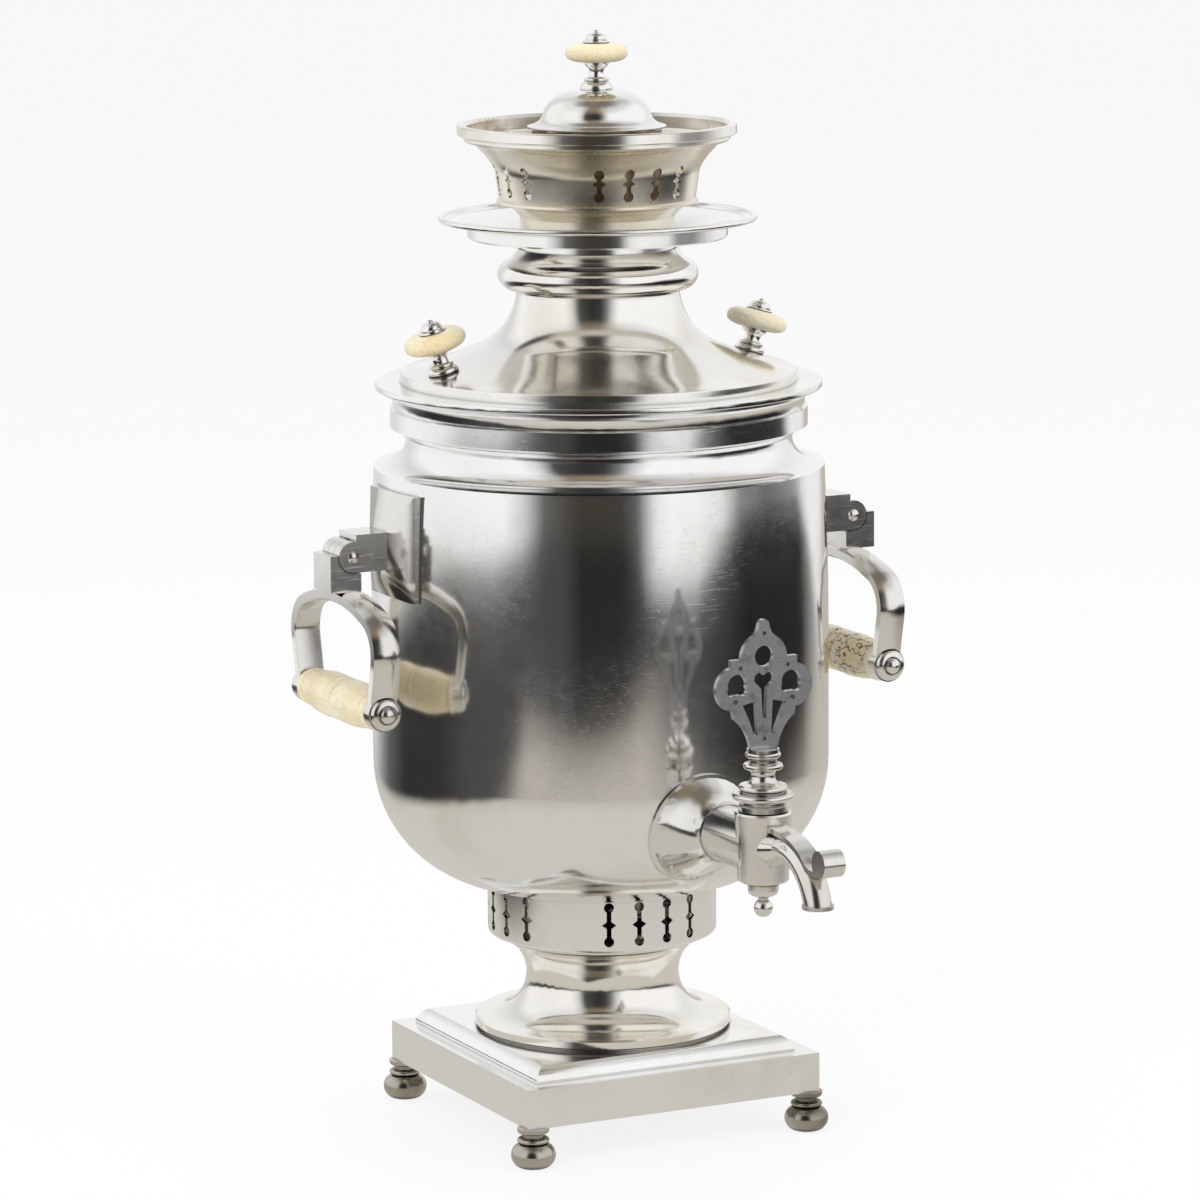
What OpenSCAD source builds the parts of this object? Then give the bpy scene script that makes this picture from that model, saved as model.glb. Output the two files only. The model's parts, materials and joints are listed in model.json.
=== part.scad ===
// Charcoal samovar with a square plinth, hinged ring handles, a plug tap and a vented crown.
// Millimetres. The origin is on the axis, at the height of the soles of the feet.
// +Z is up, the tap points along -Y and the handles hang at +X and -X.

/* [Stand] */
// Height of a ball foot, from its sole to the plinth
foot_h = 18; // [14:0.5:26]
// Diameter of the ball of a foot
foot_ball_d = 19.8; // [17:0.1:24]
// Diameter of the flange on top of a foot
foot_flange_d = 14.2; // [11:0.2:16]
// Distance from the plinth's sides to the axis of a foot
foot_inset = 4.3; // [4:0.1:8]
// Width across the plinth
plinth_w = 144.4; // [138:0.2:170]
// Height of the plinth's upright sides
plinth_side_h = 17.8; // [12:0.2:30]
// Width of the raised panel at the foot of its moulding
panel_w = 128; // [124:0.5:134]
// Width of the flat top of the raised panel
panel_top_w = 118.8; // [117:0.2:122]
// Height of the raised panel
panel_h = 6.8; // [4:0.2:12]
// Sheet thickness of the plinth
plinth_wall = 1.6; // [1:0.1:2.5]
// Diameter of the pedestal's foot disc
pedestal_d = 115.2; // [106:0.2:116]
// Height of the pedestal
pedestal_h = 43.5; // [34:0.5:56]
// Height of the pedestal's foot disc
pedestal_disc_h = 5.6; // [4:0.2:8]
// Smallest diameter of the pedestal
pedestal_neck_d = 68.8; // [60:0.2:74]
// Diameter of the vent collar
collar_d = 103; // [98:0.2:110]
// Height of the vent collar
collar_h = 23.4; // [22.4:0.2:34]
// Radius of the vent collar's lower corner
collar_corner_r = 1.8; // [1.5:0.1:3]
// Sheet thickness of pedestal and collar
stand_wall = 1.4; // [1:0.1:2]

/* [Body] */
// Largest diameter of the body
body_d = 204.2; // [190:0.2:220]
// Height of the body from its bottom to the shoulder
body_h = 188.9; // [170:0.5:220]
// Radius of the body's lower corner
body_corner_r = 56.5; // [45:0.5:60]
// How far the wall leans in from the belly to the shoulder
body_lean = 1.8; // [0.5:0.1:4]
// How far the waist above the shoulder stands in from the belly
waist_in = 16.3; // [14.5:0.1:22]
// Radius of the hollow between shoulder and waist
shoulder_r = 12.6; // [8:0.2:14]
// Sheet thickness of the body
body_wall = 1.3; // [1:0.1:2]
// Height of the neck ring
ring_h = 23.2; // [20:0.2:30]
// How far the neck ring's band stands out from the waist
ring_band_out = 7; // [5:0.1:8]
// How far the neck ring's rim stands out from the waist
ring_rim_out = 13.5; // [11:0.1:16]
// Thickness of the neck ring's rim
ring_rim_t = 2.7; // [2:0.1:4]

/* [Fire tube] */
// Outer diameter of the firebox
firebox_d = 72; // [66:0.5:76]
// Outer diameter of the chimney
chimney_d = 62; // [60:0.2:64]
// Wall of the fire tube
tube_wall = 1.5; // [1:0.1:2.5]
// Thickness of the grate
grate_t = 4; // [3:0.5:6]

/* [Lid] */
// How far the lid's rim stands in from the neck ring's rim
lid_in = 11.2; // [8:0.1:13.4]
// Height of the lid's rim
lid_rim_h = 4.7; // [3:0.1:7]
// Height of the lid from its seat to the foot of the bead
lid_h = 40.9; // [36:0.2:50]
// Radius of the lid's sweep next to its neck
lid_sweep_r = 28; // [22:0.5:32]
// Depth of the skirt that enters the body
lid_skirt_h = 13; // [8:0.5:20]
// Radius of the fat bead under the drip tray
bead_r = 6.5; // [5:0.1:7.5]
// Height of the lid's collar above the middle of the bead
bead_collar_h = 11.5; // [10:0.1:14]
// Sheet thickness of the lid
lid_wall = 1.2; // [0.9:0.1:1.8]

/* [Drip tray and crown] */
// Diameter of the drip tray's rim
tray_d = 141.2; // [130:0.2:150]
// Diameter of the drip tray's well
well_d = 115.4; // [104:0.2:120]
// Depth of the drip tray's well
well_h = 8; // [6:0.2:11]
// Outer diameter of the sleeve under the tray
sleeve_d = 69; // [68:0.2:70]
// Length of the sleeve under the tray
sleeve_h = 13; // [8:0.5:20]
// Sheet thickness of tray and crown
crown_sheet = 1.2; // [0.9:0.1:1.6]
// Diameter of the crown's rim
crown_d = 123.6; // [116:0.2:130]
// Height of the crown
crown_h = 49; // [44:0.2:60]
// Diameter of the crown's foot
crown_foot_d = 68.6; // [66.4:0.2:70]
// Height of the crown's foot
crown_foot_h = 8.2; // [6:0.2:11]
// Diameter of the crown's wall under the flare
crown_wall_d = 90.2; // [86:0.2:94]
// Outer diameter of the chimney sleeve inside the crown
flue_d = 57.4; // [56:0.2:58]
// Diameter of the flange of the chimney cap
cap_flange_d = 61.6; // [60:0.2:66]
// Diameter of the dome of the chimney cap
cap_dome_d = 48; // [44:0.2:52]
// Height of the chimney cap without its knob
cap_h = 17; // [13:0.2:22]

/* [Vents] */
// Length of a vent slot in the collar
collar_slot_h = 20; // [14:0.5:20]
// Angle between neighbouring slots of the collar
collar_slot_step = 15.3; // [11:0.1:18]
// Length of a vent slot in the crown
crown_slot_h = 14.4; // [11:0.2:14.6]
// Angle between neighbouring slots of the crown
crown_slot_step = 16.8; // [14:0.1:18]
// How far the crown's side groups of slots are turned to the back
crown_side_turn = 5; // [0:0.5:8]
// Number of slots in each group
slots_in_group = 4; // [2:1:4]
// Diameter of the round ends of a slot
slot_eye_d = 4.5; // [3.6:0.1:5]
// Width of the narrow part of a slot
slot_w = 2.1; // [1.6:0.1:2.6]

/* [Knobs] */
// Diameter of an ivory disc
disc_d = 27.6; // [24:0.2:32]
// Thickness of an ivory disc
disc_t = 8.4; // [6:0.2:11]
// Height of the cap knob's stem
stem_h = 12; // [10:0.2:16]
// Height of a lid knob's stem
lid_stem_h = 10.6; // [9:0.2:14]
// Diameter of a knob's top nut
disc_nut_d = 11.8; // [9:0.2:14]
// Height of a knob's top nut
disc_nut_h = 5.8; // [5:0.2:7]
// Distance from the lid's rim to the axis of a lid knob
lid_knob_in = 12.6; // [10:0.2:18]
// Distance from the lid's rim to the axis of the steam vent
steam_vent_in = 24.1; // [20:0.1:28]

/* [Tap] */
// Height of the tap's water way above the feet
tap_z = 152.5; // [140:0.5:170]
// Distance from the body's side to the axis of the key
key_out = 52.7; // [48:0.1:66]
// Distance from the key's axis to the spout's outlet
spout_reach = 48.6; // [45:0.2:60]
// Drop from the water way to the outlet
spout_drop = 16.5; // [16:0.1:26]
// Radius of the spout's bend
bend_r = 26; // [23:0.5:30]
// Rise of the spout from the key to its bend
spout_rise = 3.8; // [2:0.2:6]
// Diameter of the rosette on the body
rosette_d = 50; // [44:0.5:58]
// Depth of the rosette in front of the body
rosette_h = 20; // [14:0.5:24]
// Diameter of the shank
shank_d = 24.6; // [20:0.2:27]
// Upper diameter of the barrel
barrel_d = 24.8; // [23:0.2:28]
// Height of the barrel
barrel_h = 30.3; // [28:0.1:40]
// Diameter of the spout
spout_d = 12; // [11.6:0.2:14]
// Diameter of the water way
water_d = 8.4; // [6:0.2:9]
// Upper diameter of the plug
plug_d = 16.4; // [15.4:0.2:18]
// Running clearance between plug and barrel
plug_gap = 0.08; // [0.05:0.01:0.1]
// Width of the strap on the spout
strap_w = 8.6; // [7:0.2:11]
// Diameter of the roll at the end of the strap
roll_d = 11.6; // [9:0.2:13]
// Height of the key's openwork plate
key_plate_h = 56; // [50:0.5:64]
// Thickness of the key's openwork plate
key_plate_t = 2.6; // [2:0.1:4]

/* [Handles] */
// Distance from the body's side to a hinge pin
pin_out = 22; // [19:0.2:28]
// Distance from the shoulder down to the hinge pins
pin_drop = 31.9; // [30:0.1:46]
// Diameter of a hinge pin
pin_d = 4.4; // [3:0.1:5]
// Width of a hinge, along its pin
hinge_w = 18.4; // [16:0.2:24]
// Radius of a hinge knuckle
knuckle_r = 6.8; // [6:0.1:7.4]
// Clearance between the moving leaves of a hinge
hinge_gap = 0.4; // [0.3:0.05:0.6]
// Width of the bracket's plate on the body
plate_w = 46; // [36:0.5:48]
// Height of the bracket's plate on the body
plate_h = 46.8; // [40:0.2:54]
// Distance from a hinge pin down to the axis of its grip
grip_drop = 64; // [60:0.5:72]
// Largest width of a bow, between the middles of its limbs
bow_w = 87.6; // [84:0.1:96]
// Rise of a bow above its widest place
bow_rise = 21.25; // [20.6:0.05:24]
// Radius of a bow's upper corners
bow_corner_r = 16; // [14:0.5:18]
// Width of a bow's band
band_w = 12.4; // [9:0.2:14]
// Thickness of a bow's band
band_t = 6; // [4.4:0.1:7]
// Diameter of the eyes at the ends of a bow
eye_d = 15.4; // [14:0.2:18]
// Thickness of the eyes
eye_t = 6.4; // [4:0.2:8]
// Largest diameter of a grip
grip_d = 20.4; // [17:0.2:23]
// Diameter of the rod through a grip
grip_rod_d = 5; // [4:0.1:6]

/* [Hidden] */
$fn = 96;

// Colours
silver = [0.78, 0.77, 0.74];
dark_silver = [0.62, 0.61, 0.59];
brass = [0.72, 0.6, 0.36];
iron = [0.2, 0.2, 0.21];
ivory = [0.9, 0.85, 0.68];

// Clearances
slide_gap = 0.5;   // between parts that lift off and what they slip over
thread_gap = 0.05; // between a stud and its hole
bore_gap = 0.06;   // between a pin and the knuckle that turns on it
eps = 0.01;

// Levels, from the feet up
z_plinth = foot_h;
z_ledge = z_plinth + plinth_side_h;
z_panel = z_ledge + panel_h;
z_collar = z_panel + pedestal_h;
z_body = z_collar + collar_h;
z_shoulder = z_body + body_h;
z_waist = z_shoulder + shoulder_r;
z_ring = z_waist + 1.4;
z_mouth = z_ring + ring_h;
z_bead = z_mouth + lid_h + bead_r;
z_collar_top = z_bead + bead_collar_h;
z_tray = z_collar_top + 4.7;
z_well = z_tray + crown_sheet;
z_crown_rim = z_well + crown_h;
z_flue_top = z_crown_rim - 2.2;

// Ends of the chain of revolved parts
body_r = body_d / 2;
key_y = body_r + key_out;
pin_x = body_r + pin_out;
pin_z = z_shoulder - pin_drop;
shoulder_out_r = body_r - body_lean;
waist_r = body_r - waist_in;
mouth_r = waist_r - body_wall;
lid_neck_r = sleeve_d / 2 + slide_gap;
chimney_r = chimney_d / 2;
grate_seat_t = 1.5;

// Points of an arc around [x, y], from angle a to angle b
function arc(x, y, r, a, b, n = 12) =
    [for (i = [0:n]) [x + r * cos(a + (b - a) * i / n), y + r * sin(a + (b - a) * i / n)]];
// Points of a quadratic curve from a to c, pulled towards b
function bend(a, b, c, n = 6) =
    [for (i = [0:n]) let (t = i / n) a * (1 - t) * (1 - t) + b * 2 * t * (1 - t) + c * t * t];
// Points moved by t to the left of the way they run
function inset(points, t) = [for (i = [0:len(points) - 1])
    let (d = points[min(i + 1, len(points) - 1)] - points[max(i - 1, 0)]) points[i] + t * [-d[1], d[0]] / norm(d)];
function mirrored(points) = [for (i = [len(points) - 1:-1:0]) [-points[i][0], points[i][1]]];

module turned(points) rotate_extrude() polygon(points);

// Flat shape in the YZ plane, thick along X
module across_x(thickness) rotate([90, 0, 90]) linear_extrude(thickness, center = true) children();

// Flat shape in the XZ plane, thick along Y
module across_y(thickness) rotate([90, 0, 0]) linear_extrude(thickness, center = true) children();

// Cylinder along Y, from y0 to y1
module rod_y(r, y0, y1) translate([0, y0, 0]) rotate([-90, 0, 0]) cylinder(h = y1 - y0, r = r);

module both_sides(side) if (side > 0) children(); else mirror([1, 0, 0]) children();

// ---------------------------------------------------------------- stand

foot_at = plinth_w / 2 - foot_inset;
foot_stud_r = 2.2;
post_w = 12;

// Half outline of the plinth, t inside its outer face
function plinth_outline(t, bottom) = concat(
    [[plinth_w / 2 - t, bottom], [plinth_w / 2 - t, z_ledge - t],
     [panel_w / 2 - t, z_ledge - t]],
    bend([panel_w / 2 - t, z_ledge + 1 - t], [panel_w / 2 - 1.2 - t, z_panel - 1.6 - t],
         [panel_top_w / 2 - t, z_panel - t], 4));

// Square block whose four sides all follow one outline, with mitred corners
module moulded_square(half) {
    outline = concat(half, mirrored(half));
    intersection() {
        rotate([90, 0, 0]) linear_extrude(2 * plinth_w, center = true) polygon(outline);
        rotate([90, 0, 90]) linear_extrude(2 * plinth_w, center = true) polygon(outline);
    }
}

module at_feet() for (x = [-1, 1], y = [-1, 1]) translate([x * foot_at, y * foot_at, 0]) children();

module plinth() color(silver) {
    inner = plinth_w / 2 - plinth_wall;
    difference() {
        moulded_square(plinth_outline(0, z_plinth));
        moulded_square(plinth_outline(plinth_wall, z_plinth - 1));
        translate([0, 0, z_ledge]) cylinder(h = panel_h * 2, r = ash_hole_r);
    }
    // corner posts that the feet screw into
    for (x = [-1, 1], y = [-1, 1]) difference() {
        translate([x * (inner - post_w / 2), y * (inner - post_w / 2),
                   (z_plinth + plinth_wall + z_ledge - plinth_wall) / 2])
            cube([post_w, post_w, z_ledge - z_plinth - 2 * plinth_wall], center = true);
        translate([x * foot_at, y * foot_at, z_plinth]) cylinder(h = 12, r = foot_stud_r + thread_gap);
    }
}
ash_hole_r = pedestal_neck_d / 2 - 4;

module base_plate() color(dark_silver) difference() {
    w = plinth_w - 2 * plinth_wall;
    translate([-w / 2, -w / 2, z_plinth]) cube([w, w, plinth_wall]);
    at_feet() translate([0, 0, z_plinth - 1]) cylinder(h = plinth_wall + 2, r = foot_stud_r + thread_gap);
}

module foot(x, y) color(silver) translate([x * foot_at, y * foot_at, 0]) {
    ball_h = foot_h * 0.63;
    bead_h = foot_h * 0.12;
    neck_top = foot_h * 0.87;
    flange_r = foot_flange_d / 2;
    turned(concat(
        [[0, 0]],
        arc((foot_ball_d - ball_h) / 2, ball_h / 2, ball_h / 2, -90, 90, 16),
        arc(flange_r - bead_h / 2, ball_h + bead_h / 2, bead_h / 2, -90, 90, 8),
        [[flange_r * 0.65, ball_h + bead_h], [flange_r * 0.65, neck_top]],
        arc(flange_r - 1.2, neck_top + 1.2, 1.2, -90, 0, 5),
        [[flange_r, foot_h], [foot_stud_r, foot_h], [foot_stud_r, foot_h + 10], [0, foot_h + 10]]));
}

disc_top_z = z_panel + pedestal_disc_h;
scotia_r = (pedestal_h - pedestal_disc_h - 0.5) / 2;
scotia_x = pedestal_neck_d / 2 + scotia_r;
collar_seat_r = collar_d / 2 - 5;
collar_hole_r = ash_hole_r + 2;
collar_lip_r = firebox_d / 2 + 6;

module pedestal() color(silver) {
    r = pedestal_d / 2;
    t = stand_wall;
    foot_r = r - 1.6;
    scotia_z = disc_top_z + scotia_r;
    top_a = 180 - acos((scotia_x - collar_seat_r) / scotia_r);
    inner_a = 180 - acos((scotia_x - collar_seat_r + t) / (scotia_r + t));
    turned(concat(
        [[foot_r, z_panel], [foot_r, z_panel + 1.1], [r - 0.5, z_panel + 1.1], [r, z_panel + 1.6],
         [r, disc_top_z - 1], [r - 0.7, disc_top_z - 0.2]],
        arc(scotia_x, scotia_z, scotia_r, 270, top_a, 24),
        [[collar_seat_r, z_collar], [collar_seat_r - t, z_collar]],
        arc(scotia_x, scotia_z, scotia_r + t, inner_a, 270, 24),
        [[foot_r - t, disc_top_z - t], [foot_r - t, z_panel]]));
}

// One vent slot as a flat shape: two round eyes joined by a bar, with barbs at its middle
module slot_shape(h, barb_w, barb_at) {
    eye_r = slot_eye_d / 2;
    translate([0, h / 2 - eye_r]) circle(eye_r);
    translate([0, eye_r - h / 2]) circle(eye_r);
    translate([-slot_w / 2, eye_r - h / 2]) square([slot_w, h - slot_eye_d]);
    translate([0, barb_at]) polygon([[-barb_w / 2, 0], [0, -barb_w * 0.36], [barb_w / 2, 0], [0, barb_w * 0.36]]);
}

// Cuts groups of slots out of a round wall, one group towards each of +X, +Y, -X and -Y
// The groups at +X and -X are turned to the back by the given angle
module cut_slots(r, z, step, turn, h, barb_w, barb_at) {
    for (side = [0:3], i = [0:slots_in_group - 1])
        rotate([0, 0, 90 * side + turn * cos(90 * side) + step * (i - (slots_in_group - 1) / 2)])
            translate([r, 0, z]) across_x(8) slot_shape(h, barb_w, barb_at);
}

module vent_collar() color(silver) {
    r = collar_d / 2;
    t = stand_wall;
    difference() {
        turned(concat(
            [[collar_hole_r, z_collar]],
            arc(r - collar_corner_r, z_collar + collar_corner_r, collar_corner_r, -90, 0, 6),
            [[r, z_body], [collar_lip_r, z_body], [collar_lip_r, z_body - t], [r - t, z_body - t],
             [r - t, z_collar + t], [collar_hole_r, z_collar + t]]));
        cut_slots(r - t / 2, z_body - 0.4 - collar_slot_h / 2, collar_slot_step, 0, collar_slot_h, 6.6, -0.2);
    }
}

// ---------------------------------------------------------------- body

corner_x = body_r - body_corner_r;
lean_z = z_body + body_h * 0.6;
shoulder_x = waist_r + shoulder_r;

// Outline of the body from its bottom centre to the waist, t inside its outer face
function body_outline(t) = concat(
    [[0, z_body + t]],
    arc(corner_x, z_body + body_corner_r, body_corner_r - t, -90, 0, 20),
    bend([body_r - t, lean_z], [body_r - t, (lean_z + z_shoulder) / 2], [shoulder_out_r - t, z_shoulder - t], 6),
    arc(shoulder_x, z_waist, shoulder_r + t, 270, 180, 10),
    [[waist_r - t, z_mouth + 1], [0, z_mouth + 1]]);

module body_solid(t) turned(body_outline(t));

module body_shell() color(silver) difference() {
    intersection() {
        body_solid(0);
        cylinder(h = z_mouth - ring_lip_t, r = body_d);
    }
    body_solid(body_wall);
    // hole for the fire tube
    translate([0, 0, z_body - 1]) cylinder(h = body_wall + 2, r = firebox_d / 2);
    // hole for the tap's tail
    translate([0, 0, tap_z]) rod_y(tail_r + thread_gap, -body_r - 5, -body_r / 2);
    for (side = [-1, 1], z = stud_levels)
        translate([side * body_r, 0, z]) rotate([0, 90, 0]) cylinder(h = 30, r = stud_r + thread_gap, center = true);
}
ring_lip_t = 1.7;

module neck_ring() color(silver) {
    band_r = waist_r + ring_band_out;
    rim_r = waist_r + ring_rim_out;
    band_z = z_ring + 3.8;
    cove_z = band_z + (ring_h - ring_rim_t) * 0.4;
    turned(concat(
        [[waist_r, z_ring]],
        bend([waist_r + 1.2, z_ring], [waist_r + 2, band_z], [band_r, band_z], 5),
        [[band_r, cove_z], [band_r - 1.4, cove_z + 0.8]],
        bend([band_r - 1.4, cove_z + 1.8], [band_r - 1, z_mouth - ring_rim_t - 2],
             [rim_r - 3.9, z_mouth - ring_rim_t - 1.6], 5),
        [[rim_r - 3.9, z_mouth - ring_rim_t], [rim_r - 0.6, z_mouth - ring_rim_t]],
        arc(rim_r - 0.6, z_mouth - ring_rim_t + 0.6, 0.6, -90, 0, 3),
        arc(rim_r - 0.6, z_mouth - 0.6, 0.6, 0, 90, 3),
        [[mouth_r, z_mouth], [mouth_r, z_mouth - ring_lip_t], [waist_r, z_mouth - ring_lip_t]]));
}

module fire_tube() color(brass) {
    r = firebox_d / 2;
    t = tube_wall;
    taper_z = z_body + body_h * 0.75;
    top_z = z_tray;
    bottom_z = z_body - t;
    turned([
        [r - t - 2, bottom_z], [r + 4, bottom_z], [r + 4, z_body], [r, z_body],
        [r, taper_z], [chimney_r, z_mouth - 4], [chimney_r, top_z],
        [chimney_r - t, top_z], [chimney_r - t, z_mouth - 4], [r - t, taper_z],
        [r - t, bottom_z + grate_seat_t], [r - t - 2, bottom_z + grate_seat_t]]);
}

module grate() color(iron) {
    r = firebox_d / 2 - tube_wall - 0.3;
    slot = 4;
    difference() {
        translate([0, 0, z_body - tube_wall + grate_seat_t]) cylinder(h = grate_t, r = r);
        for (i = [-3:3]) {
            y = i * 2 * slot;
            half = sqrt(r * r - y * y) - 5;
            translate([0, y, z_body]) cube([2 * half, slot, 4 * grate_t], center = true);
        }
    }
}

// ---------------------------------------------------------------- handles and their hinges

stud_r = 2;
stud_levels = [pin_z - 12.5, pin_z + 15.5];
block_top = 9.8;
block_root = pin_x - 16.2;
plate_mid = pin_z + (block_top - knuckle_r) / 2 + 1.4;
ear_gap = 0.2;
knuckle_w = hinge_w * 0.31;
leaf_in = 3.7;
leaf_out = knuckle_r + 4;
leaf_bottom = 15.2;
ledge_in = 1.5;

// Bracket on the right-hand side: faceted plate, block and two ears
module bracket_shape() {
    difference() {
        union() {
            // four-sided plate that rises to the block
            intersection() {
                across_y(plate_w) polygon([
                    [body_r - 6, plate_mid - plate_h / 2], [body_r + 0.4, plate_mid - plate_h / 2],
                    [block_root, pin_z - knuckle_r], [block_root, pin_z + block_top],
                    [body_r + 0.4, plate_mid + plate_h / 2], [body_r - 6, plate_mid + plate_h / 2]]);
                translate([0, 0, plate_mid]) linear_extrude(plate_h, center = true) polygon([
                    [body_r - 6, -plate_w / 2], [body_r - 1.1, -plate_w / 2], [block_root, -hinge_w / 2],
                    [block_root, hinge_w / 2], [body_r - 1.1, plate_w / 2], [body_r - 6, plate_w / 2]]);
            }
            // block with its ledge, and the round knuckle
            across_y(hinge_w) {
                translate([block_root - 3, pin_z - knuckle_r])
                    square([pin_x - block_root + 3 - ledge_in, knuckle_r + block_top]);
                translate([pin_x, pin_z]) circle(knuckle_r);
                translate([pin_x - ledge_in - 1, pin_z - knuckle_r]) square([ledge_in + 1, knuckle_r]);
            }
            for (z = stud_levels) translate([body_r - body_wall - 5, 0, z]) rotate([0, 90, 0])
                cylinder(h = 8, r = stud_r);
        }
        intersection() {
            body_solid(0);
            // the studs stay
            difference() {
                translate([0, -plate_w, 0]) cube([body_d, 2 * plate_w, z_mouth]);
                for (z = stud_levels) translate([0, 0, z]) rotate([0, 90, 0]) cylinder(h = body_d, r = stud_r);
            }
        }
        // slot for the handle's knuckle
        across_y(knuckle_w + 2 * ear_gap) translate([pin_x, pin_z]) {
            circle(knuckle_r + hinge_gap);
            translate([0, -knuckle_r - 3]) square([knuckle_r + 3, 2 * knuckle_r + 6]);
            translate([-ledge_in - 1, -knuckle_r - 3]) square([knuckle_r + 3, knuckle_r]);
        }
        translate([pin_x, 0, pin_z]) rod_y(pin_d / 2, -hinge_w, hinge_w);
    }
}

module bracket(side) color(silver) both_sides(side) bracket_shape();

module bracket_nuts() color(dark_silver)
    for (side = [-1, 1], z = stud_levels)
        translate([side * (shoulder_out_r - body_wall - 1.4), 0, z]) rotate([0, 90, 0]) difference() {
            cylinder(h = 2.4, r = 4, $fn = 6, center = true);
            cylinder(h = 4, r = stud_r + thread_gap, center = true);
        }

module hinge_pin(side) color(silver) both_sides(side) translate([pin_x, 0, pin_z]) {
    rod_y(pin_d / 2, -hinge_w / 2, hinge_w / 2);
    for (end = [-1, 1]) scale([1, end, 1]) translate([0, hinge_w / 2, 0]) rotate([-90, 0, 0])
        turned(concat([[0, 0], [pin_d / 2 + 0.5, 0]], arc(0, -2.2, pin_d / 2 + 1.4, 42, 90, 5)));
}

bow_corner_x = bow_w / 2 - bow_corner_r;
bow_wide_z = pin_z - leaf_bottom + 1 - band_t / 2 - bow_rise;
bow_top_r = (bow_corner_x * bow_corner_x + bow_rise * bow_rise - bow_corner_r * bow_corner_r)
    / (2 * (bow_rise - bow_corner_r));
bow_top_z = bow_wide_z + bow_rise - bow_top_r;
bow_top_a = atan2(bow_corner_x, bow_top_r - bow_rise);
bow_x = pin_x + 0.5;
grip_z = pin_z - grip_drop;
leg_lean = 12;
leg_y = bow_corner_x + bow_corner_r * cos(leg_lean);
leg_z = bow_wide_z - bow_corner_r * sin(leg_lean);
leg_l = (leg_z - grip_z) / cos(leg_lean);
eye_y = leg_y - leg_l * sin(leg_lean);

// Section of a bow's band as [outward, across] points: flat inside, domed outside
band_section = concat(
    [[-band_t / 2, band_w / 2 - 0.6], [-band_t / 2, 0.6 - band_w / 2], [-band_t / 2 + 0.6, -band_w / 2]],
    [for (i = [0:6]) let (x = -1 + i / 3) [band_t / 2 - band_t * 0.3 * x * x, x * band_w / 2]],
    [[-band_t / 2 + 0.6, band_w / 2]]);

// Stations of a bow's centre line in the YZ plane as [y, z, direction of its outer face]
function stations(y, z, r, a, b, n) =
    [for (i = [0:n]) let (d = a + (b - a) * i / n) [y + r * cos(d), z + r * sin(d), d]];
bow_right = concat([[eye_y, grip_z, -leg_lean]],
    stations(bow_corner_x, bow_wide_z, bow_corner_r, -leg_lean, 90 - bow_top_a, 10));
bow_path = concat(bow_right,
    [for (s = stations(0, bow_top_z, bow_top_r, 90 - bow_top_a, 90 + bow_top_a, 12))
        if (abs(s[0]) < bow_corner_x) s],
    [for (i = [len(bow_right) - 1:-1:0]) [-bow_right[i][0], bow_right[i][1], 180 - bow_right[i][2]]]);

module bow_band() {
    n = len(band_section);
    last = len(bow_path) - 1;
    polyhedron(
        points = [for (s = bow_path, q = band_section)
            [bow_x + q[1], s[0] + q[0] * cos(s[2]), s[1] + q[0] * sin(s[2])]],
        faces = concat(
            [[for (k = [n - 1:-1:0]) k]],
            [for (i = [0:last - 1], k = [0:n - 1]) let (m = (k + 1) % n)
                [i * n + k, i * n + m, (i + 1) * n + m, (i + 1) * n + k]],
            [[for (k = [0:n - 1]) last * n + k]]));
}

module handle_bow_shape() difference() {
    union() {
        bow_band();
        for (y = [-1, 1]) translate([bow_x, 0, grip_z])
            rod_y(eye_d / 2, y * eye_y - eye_t / 2, y * eye_y + eye_t / 2);
        // hinge leaf with its stop lip
        across_y(hinge_w) difference() {
            translate([pin_x - leaf_in, pin_z - leaf_bottom])
                square([leaf_in + leaf_out, leaf_bottom + ledge_in - 0.4]);
            translate([pin_x, pin_z]) circle(knuckle_r + hinge_gap);
            translate([pin_x - leaf_in - 1, pin_z - knuckle_r - hinge_gap])
                square([leaf_in + 1, knuckle_r + hinge_gap + ledge_in]);
            translate([pin_x - leaf_in - 1, pin_z]) square([leaf_in + 1 + knuckle_r, ledge_in + 1]);
        }
        // middle knuckle
        across_y(knuckle_w) translate([pin_x, pin_z]) {
            circle(knuckle_r);
            translate([-knuckle_r * 0.25, -leaf_bottom + 2]) square([leaf_out - 1 + knuckle_r * 0.25, leaf_bottom - 2]);
        }
    }
    translate([pin_x, 0, pin_z]) rod_y(pin_d / 2 + bore_gap, -hinge_w, hinge_w);
    translate([bow_x, 0, grip_z]) rod_y(grip_rod_d / 2 + thread_gap, -bow_w, bow_w);
    // flat seats for nut, rod head and grip
    for (turn = [0, 180]) translate([bow_x, 0, grip_z]) rotate([0, 0, turn]) {
        rod_y(eye_d / 2, eye_y + eye_t / 2, eye_y + eye_t / 2 + 12);
        rod_y(grip_d / 2, eye_y - eye_t / 2 - 12, eye_y - eye_t / 2);
    }
}

module handle_bow(side) color(silver) both_sides(side) handle_bow_shape();

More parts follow.
